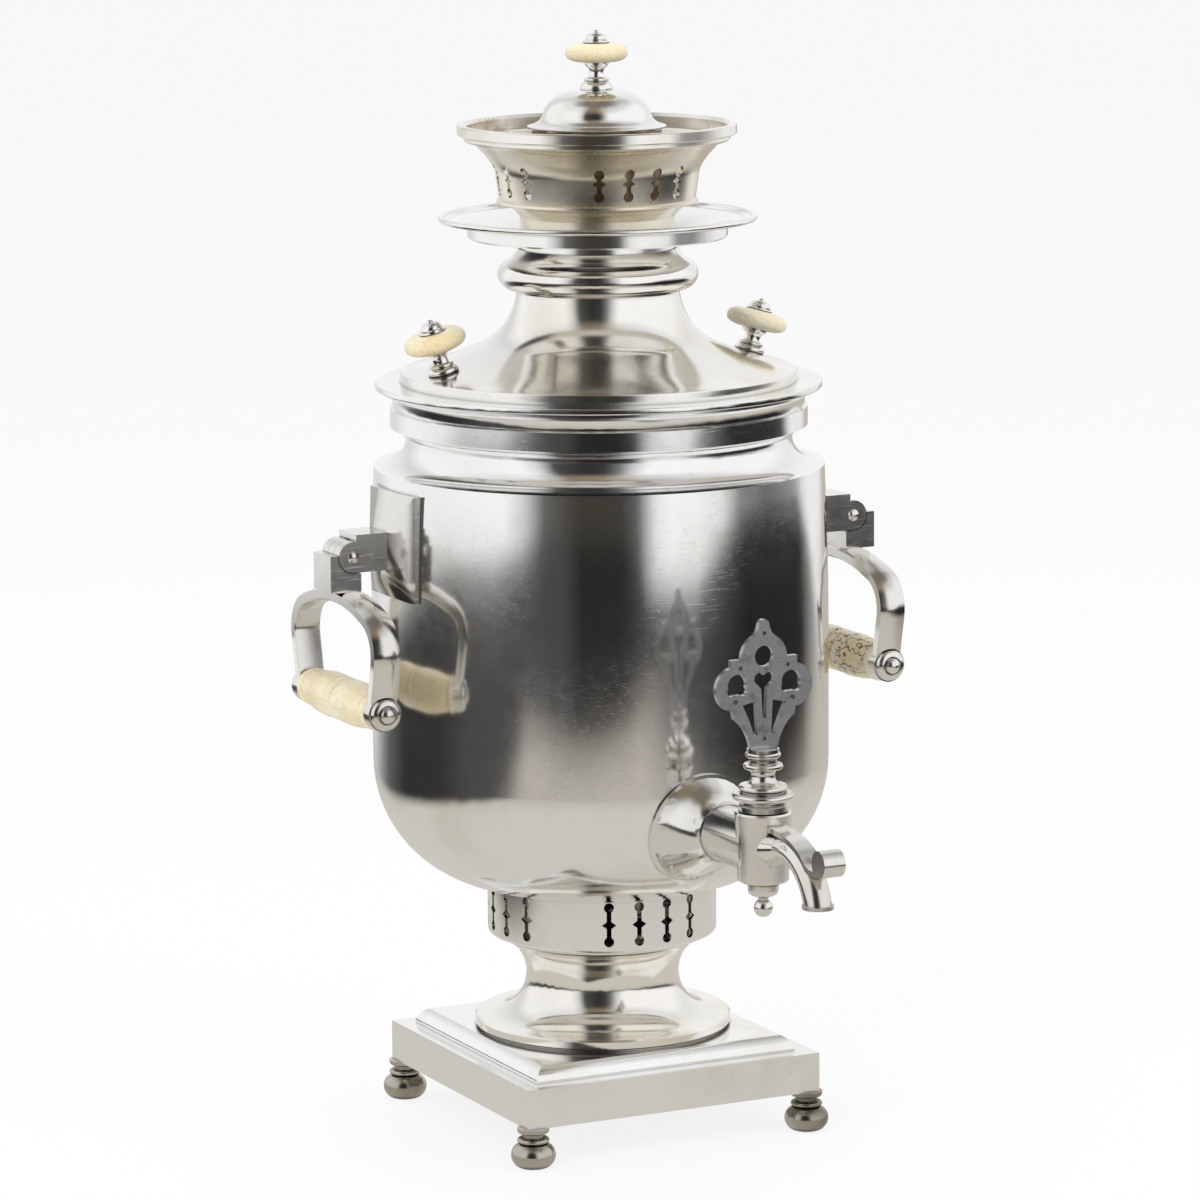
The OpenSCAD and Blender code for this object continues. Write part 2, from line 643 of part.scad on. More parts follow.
module grip(side) color(ivory) both_sides(side) translate([bow_x, 0, grip_z]) rotate([-90, 0, 0]) {
    half = eye_y - eye_t / 2;
    r = grip_d / 2;
    profile = concat(
        [[grip_rod_d / 2 + thread_gap, 0], [r - 0.5, 0], [r - 0.5, 2.2],
         [r - 1.4, 2.8], [r - 1.4, 3.4], [r - 0.6, 4.2]],
        bend([r - 0.6, 4.2], [r + 0.5, half * 0.45], [r - 2.2, half - 5.6], 8),
        [[r - 2.9, half - 5], [r - 2.9, half - 4.2], [r - 1.9, half - 3.4], [r - 1.9, half - 0.8],
         [r - 2.5, half], [grip_rod_d / 2 + thread_gap, half]]);
    turned(profile);
    mirror([0, 0, 1]) turned(profile);
}

grip_nut_l = 5.4;
nut_foot_r = eye_d / 2 - 0.6;
// Stepped and domed end of the grip's rod, its flat face at y = 0 and its dome towards +Y
module dome_nut(bore) rotate([-90, 0, 0]) turned(concat(
    [[bore, 0], [nut_foot_r, 0]],
    bend([nut_foot_r, 0.6], [nut_foot_r - 0.2, 2.6], [4.4, 3], 6),
    [[3.9, 2.6], [3.4, 2.6]],
    arc(0, grip_nut_l - 4.2, 4.2, 36, 90, 6),
    bore > 0 ? [[0, grip_nut_l - 1.6], [bore, grip_nut_l - 1.6]] : []));

module grip_rod(side) color(silver) both_sides(side) translate([bow_x, 0, grip_z]) {
    end = eye_y + eye_t / 2;
    rod_y(grip_rod_d / 2, -end, end + grip_nut_l - 2.2);
    mirror([0, 1, 0]) translate([0, end, 0]) dome_nut(0);
}

module grip_nut(side) color(silver) both_sides(side)
    translate([bow_x, eye_y + eye_t / 2, grip_z]) dome_nut(grip_rod_d / 2);

// ---------------------------------------------------------------- tap

tail_r = 8;
nut_t = 5;
body_at_tap = corner_x + sqrt(pow(body_corner_r, 2) - pow(z_body + body_corner_r - tap_z, 2));
rosette_front = body_at_tap + rosette_h;
barrel_top = tap_z + barrel_h * 0.538;
barrel_bottom = barrel_top - barrel_h;
barrel_low_d = barrel_d - 2.8;
plug_low_d = plug_d - 3;
washer_face = body_at_tap - body_wall - 7;

rosette_z = tap_z - 2.3;
rosette_rim_t = 1.6;
neck_r = shank_d / 2 + 0.5;

// Distance from the axis to the body's face at height z below the belly
function body_face(z) = corner_x + sqrt(pow(body_corner_r, 2) - pow(min(z - z_body - body_corner_r, 0), 2));
// Distance along Y from the axis to the body's face at [x, z]
function body_y(x, z) = sqrt(pow(body_face(z), 2) - x * x);

// Point of the bell in direction a, from the shank at s = 0 to the rim at s = 1
function bell_point(a, s) = let (
        out = 0.16 * s + 0.84 * pow(s, 2.4),
        r = neck_r + (rosette_d / 2 - 1 - neck_r) * out,
        x = r * cos(a), z = tap_z + (rosette_z - tap_z) * s + r * sin(a),
        back = body_y(x, z) + rosette_rim_t - 0.4)
    [x, -rosette_front - 0.5 * (1 - s) + (rosette_front - back) * s, z];

module bell() {
    n = 32;
    rings = concat([for (j = [0:6]) [for (i = [0:n - 1]) bell_point(360 * i / n, j / 6)]],
        [[for (i = [0:n - 1]) bell_point(360 * i / n, 1) + [0, 6, 0]]]);
    last = len(rings) - 1;
    polyhedron(
        points = [for (ring = rings, p = ring) p],
        faces = concat(
            [[for (i = [n - 1:-1:0]) i]],
            [for (j = [0:last - 1], i = [0:n - 1], half = [0, 1]) let (k = (i + 1) % n)
                half == 0 ? [j * n + i, j * n + k, (j + 1) * n + k] : [j * n + i, (j + 1) * n + k, (j + 1) * n + i]],
            [for (i = [1:n - 2]) [last * n, last * n + i, last * n + i + 1]]));
}

module tap_rosette() color(silver) difference() {
    union() {
        bell();
        intersection() {
            translate([0, 0, rosette_z]) rod_y(rosette_d / 2, -body_r - 10, -body_r / 2);
            body_solid(-rosette_rim_t);
        }
    }
    body_solid(0);
    translate([0, 0, tap_z]) {
        rod_y(shank_d / 2 - 2.5, -key_y, 0);
        rod_y(shank_d, -key_y, -rosette_front);
    }
}

spout_z = tap_z + spout_rise;
outlet_y = -key_y - spout_reach;
outlet_z = tap_z - spout_drop;
bend_end = asin((outlet_z - spout_z + bend_r) / bend_r);
bend_y = outlet_y + bend_r * cos(bend_end);
// the spout's root touches the circle of its bend
bend_at = [-key_y - bend_y, spout_z - bend_r - tap_z];
root_rise = atan2(bend_at[1], bend_at[0]) + asin(bend_r / norm(bend_at));
root_l = sqrt(bend_at * bend_at - bend_r * bend_r);
outlet_d = water_d + 0.8;
strap_t = 2.4;
roll_at = [-key_y - 57.8, spout_z + 0.6];

module spout_bend(r) translate([0, bend_y, spout_z - bend_r]) rotate([90, 0, 90])
    rotate([0, 0, 90 - root_rise]) rotate_extrude(angle = 95 + root_rise - bend_end) translate([bend_r, 0]) circle(r);

// From the key's axis to the start of the bend
module spout_root(r1, r2) translate([0, -key_y, tap_z]) rotate([90 - root_rise, 0, 0])
    cylinder(h = root_l, r1 = r1, r2 = r2);

// Strap that lies on the spout and curls up into a roll
module strap() {
    line = concat(
        bend([-key_y - 9, tap_z + 10.6], [-key_y - 29, tap_z + 11.2], [-key_y - 39.6, tap_z + 4.2], 8),
        bend([-key_y - 40.6, tap_z + 3.2], [-key_y - 47, tap_z - 2.8],
             [roll_at[0] + 1, roll_at[1] - roll_d / 2 + strap_t / 2], 6));
    across_x(strap_w) polygon(concat(inset(line, strap_t / 2),
        [for (i = [len(line) - 1:-1:0]) inset(line, -strap_t / 2)[i]]));
    across_x(strap_w + 1.4) translate(roll_at) circle(roll_d / 2);
}

module tap_body() color(silver) difference() {
    union() {
        translate([0, -key_y, barrel_bottom])
            turned([[0, 0], [barrel_low_d / 2 - 0.6, 0], [barrel_low_d / 2, 0.6],
                    [barrel_d / 2 - 0.6, barrel_h * 0.7], [barrel_d / 2, barrel_h - 0.8],
                    [barrel_d / 2 - 0.5, barrel_h], [0, barrel_h]]);
        translate([0, 0, tap_z]) {
            rod_y(shank_d / 2, -key_y, -rosette_front);
            rod_y(shank_d / 2 - 2.5, -key_y, -body_at_tap - 3);
            rod_y(tail_r, -key_y, -washer_face + nut_t + 4);
        }
        spout_root(spout_d / 2 + 3, spout_d / 2);
        spout_bend(spout_d / 2);
        translate([0, outlet_y, outlet_z]) cylinder(h = 1.6, r = spout_d / 2 + 0.8);
        strap();
    }
    // the outlet is level
    translate([0, outlet_y, outlet_z - 5]) cube([4 * spout_d, 4 * spout_d, 10], center = true);
    // water way
    translate([0, 0, tap_z]) rod_y(water_d / 2, -key_y, 0);
    spout_root(water_d / 2, water_d / 2);
    spout_bend(water_d / 2);
    translate([0, outlet_y, outlet_z - 1]) cylinder(h = 4.5, r = outlet_d / 2);
    // seat of the plug
    translate([0, -key_y, barrel_bottom - eps])
        cylinder(h = barrel_h + 2 * eps, r1 = plug_low_d / 2 + plug_gap, r2 = plug_d / 2 + plug_gap);
}

// Saddle washer and nut that hold the tap from inside the body
module tap_washer() color(brass) intersection() {
    translate([0, 0, tap_z]) difference() {
        rod_y(14, -washer_face - 12, -washer_face);
        rod_y(tail_r + thread_gap, -washer_face - 20, -washer_face + 20);
    }
    body_solid(body_wall);
}

module tap_nut() color(brass) translate([0, -washer_face, tap_z]) rotate([-90, 0, 0]) difference() {
    cylinder(h = nut_t, r = 13, $fn = 6);
    translate([0, 0, -1]) cylinder(h = nut_t + 2, r = tail_r + thread_gap);
}

// ---------------------------------------------------------------- key of the tap

key_bead_z = barrel_top + 0.4;
key_top_z = key_bead_z + 26.2;
key_rise = 0.75;
key_tail_r = 3.2;
key_tail_l = 5.4;
key_nut_h = 14.6;

// Right half of the plate's outline above the side lobes: spade with a rounded tip
function spade_side(h) = concat(
    bend([2.4, h - 2.2], [3, h * 0.89], [6.3, h * 0.86], 5),
    bend([6.3, h * 0.86], [10.4, h * 0.81], [10.9, h * 0.71], 6));

// Right half of the plate's foot
function plate_foot(h) = concat(
    [[15, h * 0.31], [14.4, h * 0.25], [13.6, h * 0.245]],
    bend([13.6, h * 0.245], [8, h * 0.17], [6.2, 0], 6));

lobe_x = 13.4;
lobe_r = 9.6;

module key_plate_2d(h) difference() {
    union() {
        translate([0, h - 2.4]) circle(2.4);
        polygon(concat(spade_side(h), [[10.9, h * 0.5], [-10.9, h * 0.5]], mirrored(spade_side(h))));
        translate([-15.8, h * 0.64]) square([31.6, h * 0.066]);
        translate([-15.6, h * 0.45]) square([31.2, h * 0.25]);
        for (x = [-lobe_x, lobe_x]) translate([x, h * 0.482]) circle(lobe_r);
        polygon(concat([[0, h * 0.6]], plate_foot(h), mirrored(plate_foot(h))));
    }
    // round holes
    translate([0, h * 0.72]) circle(4.5);
    for (y = [h * 0.895, h * 0.085]) translate([0, y]) circle(0.9);
    for (x = [-1, 1]) {
        translate([x * 11.3, h * 0.64]) circle(0.9);
        translate([x * 13.6, h * 0.385]) circle(1.1);
        // scalloped hole in each lobe
        translate([x * 12.9, h * 0.515]) circle(4.5);
        for (dx = [-2.7, 2.7]) translate([x * 12.9 + dx, h * 0.515 - 2.7]) circle(2.1);
        // heart
        translate([x * 2.2, h * 0.547]) circle(2.6);
        // slanted openings beside the slot
        polygon([for (p = concat(
            bend([10.4, h * 0.355], [7.2, h * 0.25], [4.9, h * 0.115], 4),
            [[3.2, h * 0.12], [4, h * 0.38]])) [x * p[0], p[1]]]);
    }
    polygon([[-4.6, h * 0.528], [-1.5, h * 0.47], [-0.8, h * 0.245],
             [0.8, h * 0.245], [1.5, h * 0.47], [4.6, h * 0.528]]);
}

module tap_key() color(silver) translate([0, -key_y, 0]) {
    // openwork plate
    translate([0, 0, key_top_z]) across_y(key_plate_t) key_plate_2d(key_plate_h);
    // turned beads
    translate([0, 0, key_bead_z]) turned(concat([[0, 0], [10.6, 0]], [for (p = concat(
        [[10.6, 1.4], [9.8, 2.2], [9.8, 3.4], [12.2, 4]],
        arc(11.9, 5.6, 1.45, -80, 80, 6),
        [[9.6, 7.2], [9.6, 7.9]],
        arc(9.2, 9.2, 1.3, -60, 90, 5),
        bend([8.2, 10.6], [5.2, 11], [5.1, 14.2], 5),
        bend([5.1, 15], [5.4, 16.8], [7.4, 17], 4),
        arc(7.3, 18.3, 1.3, -80, 80, 5),
        [[5.9, 20], [5.9, 21.2], [6.7, 22]],
        arc(6.5, 23.3, 1.15, -80, 80, 5),
        [[6.9, 24.6], [6.9, 25.8]])) [p[0], p[1] + key_rise]], [[0, 25.8 + key_rise]]));
    difference() {
        union() {
            translate([0, 0, barrel_bottom])
                cylinder(h = barrel_h, r1 = plug_low_d / 2, r2 = plug_d / 2);
            translate([0, 0, barrel_top - eps]) cylinder(h = key_bead_z - barrel_top + 2 * eps, r = plug_d / 2);
            translate([0, 0, barrel_bottom - key_tail_l]) cylinder(h = key_tail_l + 1, r = key_tail_r);
        }
        // cross bore, shut while the plate stands across the tap
        translate([0, 0, tap_z]) rotate([0, 90, 0]) cylinder(h = 4 * plug_d, r = water_d / 2, center = true);
    }
}

module tap_key_washer() color(brass) translate([0, -key_y, barrel_bottom - 1.3]) difference() {
    cylinder(h = 1, r = 7.4);
    translate([0, 0, -1]) cylinder(h = 3, r = key_tail_r + thread_gap);
}

module tap_key_nut() color(silver) translate([0, -key_y, barrel_bottom - 1.3 - key_nut_h]) difference() {
    turned(concat(
        [[0, 0]],
        arc(0, 4.1, 4.1, -80, 58, 12),
        [[2.2, 8.4], [3, 9]],
        bend([5, 9.6], [6.6, 10.4], [6.6, 12], 4),
        [[6.6, key_nut_h], [0, key_nut_h]]));
    translate([0, 0, key_nut_h + 1.3 - key_tail_l - 0.2]) cylinder(h = 12, r = key_tail_r);
}

// ---------------------------------------------------------------- lid

lid_r = waist_r + ring_rim_out - lid_in;
lid_knob_r = lid_r - lid_knob_in;
steam_vent_r = lid_r - steam_vent_in;
sweep_x = lid_neck_r + lid_wall + lid_sweep_r;
sweep_z = z_mouth + lid_h + 0.9;
sweep_end = 245;
sweep_tip = [sweep_x + lid_sweep_r * cos(sweep_end), sweep_z + lid_sweep_r * sin(sweep_end)];
sweep_normal = [-cos(sweep_end), -sin(sweep_end)];
rim_edge = [lid_r - 0.6, z_mouth + lid_rim_h];
cone_r = pow(norm(rim_edge - sweep_tip), 2) / (2 * (rim_edge - sweep_tip) * sweep_normal);
cone_c = sweep_tip + cone_r * sweep_normal;
cone_end = 360 + atan2(rim_edge[1] - cone_c[1], rim_edge[0] - cone_c[0]);
bead_x = lid_neck_r + lid_wall + 1.8;

// Height and outward tilt of the lid's upper face at distance r from the axis
function lid_z(r) = cone_c[1] - sqrt(cone_r * cone_r - pow(r - cone_c[0], 2));
function lid_tilt(r) = asin((cone_c[0] - r) / cone_r);

function lid_face() = concat(
    bend([lid_neck_r + 0.6, z_collar_top], [lid_neck_r + 2.4, z_collar_top - 4.6],
         [bead_x + bead_r * cos(52), z_bead + bead_r * sin(52)], 6),
    arc(bead_x, z_bead, bead_r, 46, -90, 14),
    arc(sweep_x, sweep_z, lid_sweep_r, 184, sweep_end, 14),
    arc(cone_c[0], cone_c[1], cone_r, sweep_end, cone_end, 6),
    arc(lid_r - 0.6, z_mouth + lid_rim_h - 0.6, 0.6, 90, 0, 3),
    [[lid_r, z_mouth]]);

module lid() color(silver) difference() {
    t = lid_wall;
    skirt_r = mouth_r - slide_gap;
    turned(concat(
        [[lid_neck_r, z_collar_top]],
        lid_face(),
        [[skirt_r, z_mouth], [skirt_r, z_mouth - lid_skirt_h], [skirt_r - t, z_mouth - lid_skirt_h],
         [skirt_r - t, z_mouth + lid_rim_h - 1]],
        arc(cone_c[0], cone_c[1], cone_r + t, cone_end - 1.8, sweep_end, 6),
        arc(sweep_x, sweep_z, lid_sweep_r + t, sweep_end, 180, 14)));
    for (side = [-1, 1]) at_lid(side * lid_knob_r, 0) cylinder(h = 12, r = knob_stud_r + thread_gap, center = true);
    at_lid(0, steam_vent_r) cylinder(h = 20, r = 3.2, center = true);
}

// Places a piece on the lid's upper face, its +Z along the face's normal
module at_lid(x, y) {
    r = norm([x, y]);
    translate([x, y, lid_z(r)]) rotate([0, 0, atan2(y, x)]) rotate([0, lid_tilt(r), 0]) children();
}

module lid_solid() turned(concat([[0, z_mouth], [0, z_collar_top]], lid_face()));

// ---------------------------------------------------------------- knobs

knob_stud_r = 2;
knob_sink = 1.4;

// Turned stem of height h with the stud that carries disc and nut
// deep is the stud's length below the seat, tuck is how far the foot draws in under its belly
module knob_stem(h, deep, tuck) {
    turned([[0, -deep], [knob_stud_r, -deep], [knob_stud_r, -eps], [0, 0]]);
    turned(concat(
        [[0, -knob_sink], [7.1 - tuck, -knob_sink]],
        bend([7.2 - tuck, 0], [7.6 + tuck * 0.4, h * 0.16], [5.2, h * 0.31], 7),
        arc(4.9, h * 0.38, h * 0.065, -75, 80, 6),
        bend([3.7, h * 0.47], [3.1, h * 0.68], [3.9, h * 0.8], 5),
        [[4.6, h * 0.84], [5.6, h * 0.94], [5.6, h], [knob_stud_r, h],
         [knob_stud_r, h + disc_t + disc_nut_h * 0.6], [0, h + disc_t + disc_nut_h * 0.6]]));
}

module knob_disc(h) translate([0, 0, h]) {
    r = disc_d / 2;
    turned(concat(
        [[knob_stud_r + thread_gap, 0], [5.4, 0]],
        bend([5.4, 0], [r, 0.1], [r, disc_t * 0.46], 8),
        bend([r, disc_t * 0.5], [r - 0.4, disc_t], [5.8, disc_t], 8),
        [[knob_stud_r + thread_gap, disc_t]]));
}

// Nut with a stepped flange, a low dome and a small finial
module knob_cap(h) translate([0, 0, h + disc_t]) difference() {
    r = disc_nut_d / 2;
    turned(concat(
        [[0, 0], [r - 0.3, 0], [r, 0.5], [r - 0.3, 1.1], [r - 1, 1.2], [r - 1, 1.7]],
        bend([r - 1.2, 1.9], [r * 0.72, disc_nut_h * 0.74], [1.7, disc_nut_h * 0.78], 7),
        bend([1.5, disc_nut_h * 0.84], [1.3, disc_nut_h * 0.98], [0, disc_nut_h], 4)));
    translate([0, 0, -1]) cylinder(h = 1 + disc_nut_h * 0.6 + 0.3, r = knob_stud_r + thread_gap);
}

module knob_nut(z) translate([0, 0, z - 2.2]) difference() {
    cylinder(h = 2.2, r = 4, $fn = 6);
    translate([0, 0, -1]) cylinder(h = 5, r = knob_stud_r + thread_gap);
}

module lid_knob_stem(side) color(silver) difference() {
    at_lid(side * lid_knob_r, 0) knob_stem(lid_stem_h, lid_wall + 4, 1);
    difference() {
        lid_solid();
        at_lid(side * lid_knob_r, 0) cylinder(h = 30, r = knob_stud_r, center = true);
    }
}

module lid_knob_disc(side) color(ivory) at_lid(side * lid_knob_r, 0) knob_disc(lid_stem_h);
module lid_knob_cap(side) color(silver) at_lid(side * lid_knob_r, 0) knob_cap(lid_stem_h);
module lid_knob_nuts() color(brass) for (side = [-1, 1]) at_lid(side * lid_knob_r, 0) knob_nut(-lid_wall - 0.3);

// ---------------------------------------------------------------- steam vent

vent_h = 9;
vent_r = 4.4;
flap_pin_y = vent_r + 3.4;
flap_pin_z = vent_h + 1.4;
flap_pin_r = 0.8;
flap_t = 1.6;

// The hinge of the flap is on the outer side of the vent
module at_vent() at_lid(0, steam_vent_r) rotate([0, 0, -90]) children();

module steam_vent() color(silver) difference() {
    at_vent() difference() {
        union() {
            turned([[0, -knob_sink], [6.4, -knob_sink], [6.6, 0], [6.4, 1], [vent_r + 0.4, 2], [vent_r, 3],
                    [vent_r, vent_h - 1.6], [vent_r + 0.7, vent_h - 1], [vent_r + 0.7, vent_h], [0, vent_h]]);
            across_x(2) polygon([[vent_r - 1, vent_h - 5.4], [flap_pin_y + 1.4, vent_h - 0.4],
                                 [flap_pin_y + 1.4, flap_pin_z], [flap_pin_y - 1.4, flap_pin_z],
                                 [flap_pin_y - 1.4, vent_h - 0.6], [vent_r - 1, vent_h - 2]]);
            translate([0, flap_pin_y, flap_pin_z]) rotate([0, 90, 0]) cylinder(h = 2, r = 1.4, center = true);
        }
        translate([0, 0, -5]) cylinder(h = vent_h + 10, r = 2.6);
        translate([0, flap_pin_y, flap_pin_z]) rotate([0, 90, 0]) cylinder(h = 9, r = flap_pin_r, center = true);
    }
    lid_solid();
}

module steam_vent_pin() color(silver) at_vent() translate([0, flap_pin_y, flap_pin_z]) rotate([0, 90, 0])
    cylinder(h = 5.6, r = flap_pin_r, center = true);

module steam_vent_flap() color(silver) at_vent() difference() {
    union() {
        translate([0, 0, vent_h]) turned(concat(
            [[0, 0], [vent_r + 0.9, 0], [vent_r + 0.9, 0.7]],
            arc(0, flap_t - 7.4, 8.6, 60, 90, 5)));
        for (x = [-1, 1]) translate([x * 2.05, 0, 0]) across_x(1.5) {
            translate([flap_pin_y, flap_pin_z]) circle(1.4);
            polygon([[vent_r - 2, vent_h + 0.3], [flap_pin_y, flap_pin_z - 1.4],
                     [flap_pin_y, flap_pin_z + 1.4], [vent_r - 2, vent_h + 1.4]]);
        }
    }
    translate([0, flap_pin_y, flap_pin_z]) rotate([0, 90, 0])
        cylinder(h = 9, r = flap_pin_r + bore_gap, center = true);
    // room for the vent's lug
    translate([0, flap_pin_y, flap_pin_z]) cube([2.6, 4.6, 6], center = true);
}

// ---------------------------------------------------------------- drip tray, crown and chimney cap

module drip_tray() color(silver) {
    t = crown_sheet;
    sleeve_r = sleeve_d / 2;
    well_r = well_d / 2;
    rim_r = tray_d / 2;
    roll = 1.3;
    flange_z = z_well + well_h - t;
    turned(concat(
        [[sleeve_r - t, z_tray - sleeve_h], [sleeve_r, z_tray - sleeve_h], [sleeve_r, z_tray],
         [well_r - 0.8, z_tray], [well_r, z_tray + 0.8],
         [well_r, flange_z - t - 0.8], [rim_r - roll - 0.6, flange_z - 0.4]],
        arc(rim_r - roll, flange_z + 0.7, roll, -100, 170, 12),
        [[rim_r - 2 * roll - 2.8, flange_z + 1], [rim_r - 2 * roll - 3.4, flange_z + 0.2]],
        bend([rim_r - 2 * roll - 3.4, flange_z + 0.2], [well_r * 0.84, flange_z - 1.6], [well_r * 0.72, z_well], 8),
        [[flue_d / 2 + slide_gap, z_well], [flue_d / 2 + slide_gap, z_tray], [sleeve_r - t, z_tray]]));
}

crown_ridge_z = z_well + crown_foot_h + 6.4;
flare_out = 11.6;
flare_h = 14;
rim_in = 2.8;

module crown() color(silver) {
    t = crown_sheet;
    foot_r = crown_foot_d / 2;
    wall_r = crown_wall_d / 2;
    rim_r = crown_d / 2;
    low_r = wall_r - 1.6;
    flare_z = z_crown_rim - 7.6;
    flare = concat(
        bend([wall_r, flare_z - flare_h], [wall_r + 0.5, flare_z - flare_h * 0.72],
             [wall_r + flare_out * 0.54, flare_z - flare_h * 0.28], 7),
        bend([wall_r + flare_out * 0.6, flare_z - flare_h * 0.23], [wall_r + flare_out * 0.78, flare_z - 0.6],
             [wall_r + flare_out, flare_z], 4));
    inner = inset(flare, t);
    foot_z = z_well + crown_foot_h;
    difference() {
        turned(concat(
            [[foot_r, z_well]],
            bend([foot_r, foot_z], [foot_r + 3.6, crown_ridge_z - 1.2], [low_r, crown_ridge_z - 0.6], 5),
            [[low_r + 1, crown_ridge_z], [low_r + 1, crown_ridge_z + 1], [low_r, crown_ridge_z + 1.6]],
            flare,
            [[rim_r - rim_in - 1, flare_z], [rim_r - rim_in, flare_z + 1], [rim_r - rim_in, flare_z + 2.8],
             [rim_r - 0.4, flare_z + 2.9], [rim_r, flare_z + 3.3],
             [rim_r, z_crown_rim - 0.5], [rim_r - 0.5, z_crown_rim],
             [rim_r - rim_in + 0.2, z_crown_rim], [rim_r - rim_in - t, z_crown_rim - 1.4],
             [rim_r - rim_in - t, flare_z + t]],
            [for (i = [len(inner) - 1:-1:0]) inner[i]],
            [[low_r - t, crown_ridge_z + 1.2]],
            bend([low_r - t, crown_ridge_z + 0.4], [foot_r + 2.6, crown_ridge_z - 0.2], [foot_r - t, foot_z + 0.4], 5),
            [[foot_r - t, z_well]]));
        cut_slots(wall_r, crown_ridge_z + 3.4 + crown_slot_h / 2, crown_slot_step, crown_side_turn, crown_slot_h, 6, 0.8);
    }
}

module crown_flue() color(brass) {
    r = flue_d / 2;
    t = crown_sheet;
    turned([
        [r - t, z_tray - 7], [r, z_tray - 7], [r, z_well], [crown_foot_d / 2 - t, z_well],
        [crown_foot_d / 2 - t, z_well + t], [r, z_well + t], [r, z_flue_top], [r - t, z_flue_top]]);
}

module chimney_cap() color(silver) difference() {
    t = crown_sheet;
    r = cap_flange_d / 2;
    dome_r = cap_dome_d / 2;
    spigot_r = flue_d / 2 - t - 0.4;
    top = z_flue_top + cap_h;
    turned(concat(
        [[spigot_r - t, z_flue_top - 6], [spigot_r, z_flue_top - 6], [spigot_r, z_flue_top],
         [r - 0.4, z_flue_top], [r, z_flue_top + 0.4], [r, z_flue_top + 1]],
        bend([r - 0.4, z_flue_top + 1.3], [dome_r + 1, z_flue_top + 2.4], [dome_r, z_flue_top + 6], 6),
        bend([dome_r, z_flue_top + 6], [dome_r - 2.2, top - 1.6], [8, top], 10),
        [[0, top], [0, top - t], [8, top - t]],
        bend([8, top - t], [dome_r - 3.4, top - 3], [dome_r - t, z_flue_top + 6], 10),
        [[spigot_r - t, z_flue_top + 2.4]]));
    translate([0, 0, top]) cylinder(h = 8, r = knob_stud_r + thread_gap, center = true);
}

module at_cap() translate([0, 0, z_flue_top + cap_h]) children();
module cap_knob_stem() color(silver) difference() {
    at_cap() knob_stem(stem_h, crown_sheet + 4, 0);
    at_cap() translate([0, 0, -5]) difference() {
        cylinder(h = 5, r = 20);
        cylinder(h = 5, r = knob_stud_r);
    }
}
module cap_knob_disc() color(ivory) at_cap() knob_disc(stem_h);
module cap_knob_cap() color(silver) at_cap() knob_cap(stem_h);
module cap_knob_nut() color(brass) at_cap() knob_nut(-crown_sheet);

// ---------------------------------------------------------------- output

plinth();
base_plate();
foot(-1, -1);  // foot_front_left
foot(1, -1);  // foot_front_right
foot(-1, 1);  // foot_back_left
foot(1, 1);  // foot_back_right
pedestal();
vent_collar();
grate();
fire_tube();
body_shell();
neck_ring();
bracket(-1);  // bracket_left
bracket(1);  // bracket_right
bracket_nuts();
hinge_pin(-1);  // hinge_pin_left
hinge_pin(1);  // hinge_pin_right
handle_bow(-1);  // handle_bow_left
handle_bow(1);  // handle_bow_right
grip(-1);  // grip_left
grip(1);  // grip_right
grip_rod(-1);  // grip_rod_left
grip_rod(1);  // grip_rod_right
grip_nut(-1);  // grip_nut_left
grip_nut(1);  // grip_nut_right
tap_rosette();
tap_body();
tap_washer();
tap_nut();
tap_key();
tap_key_washer();
tap_key_nut();
lid();
lid_knob_stem(-1);  // lid_knob_stem_left
lid_knob_stem(1);  // lid_knob_stem_right
lid_knob_disc(-1);  // lid_knob_disc_left
lid_knob_disc(1);  // lid_knob_disc_right
lid_knob_cap(-1);  // lid_knob_cap_left
lid_knob_cap(1);  // lid_knob_cap_right
lid_knob_nuts();
steam_vent();
steam_vent_pin();
steam_vent_flap();
drip_tray();
crown();
crown_flue();
chimney_cap();
cap_knob_stem();
cap_knob_disc();
cap_knob_cap();
cap_knob_nut();
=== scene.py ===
import bpy, bmesh, json, math
from mathutils import Matrix, Vector

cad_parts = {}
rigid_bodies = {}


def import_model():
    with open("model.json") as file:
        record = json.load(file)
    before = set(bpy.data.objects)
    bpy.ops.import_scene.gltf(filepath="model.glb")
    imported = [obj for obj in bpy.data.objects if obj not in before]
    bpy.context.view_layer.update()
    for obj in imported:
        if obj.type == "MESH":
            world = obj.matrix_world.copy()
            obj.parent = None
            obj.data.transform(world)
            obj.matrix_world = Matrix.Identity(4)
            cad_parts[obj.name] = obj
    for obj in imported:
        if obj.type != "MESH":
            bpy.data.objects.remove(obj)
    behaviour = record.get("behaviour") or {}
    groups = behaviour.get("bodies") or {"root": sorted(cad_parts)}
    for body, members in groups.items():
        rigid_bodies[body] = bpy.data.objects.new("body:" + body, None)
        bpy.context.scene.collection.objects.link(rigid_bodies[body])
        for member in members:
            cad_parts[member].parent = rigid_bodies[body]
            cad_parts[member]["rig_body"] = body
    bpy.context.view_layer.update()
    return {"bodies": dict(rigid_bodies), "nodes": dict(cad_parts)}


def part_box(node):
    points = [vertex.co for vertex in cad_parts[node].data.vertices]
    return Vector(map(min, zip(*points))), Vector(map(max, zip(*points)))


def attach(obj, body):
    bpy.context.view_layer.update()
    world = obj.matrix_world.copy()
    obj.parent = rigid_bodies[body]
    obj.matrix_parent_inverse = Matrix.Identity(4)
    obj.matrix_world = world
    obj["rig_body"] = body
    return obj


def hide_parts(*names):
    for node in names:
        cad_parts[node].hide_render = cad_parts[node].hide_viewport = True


# A charcoal samovar. Each visible CAD node is stood for by a smooth-shaded piece of the same
# shape in a procedural material. Lengths are in metres, +Z is up and the tap points to -Y.

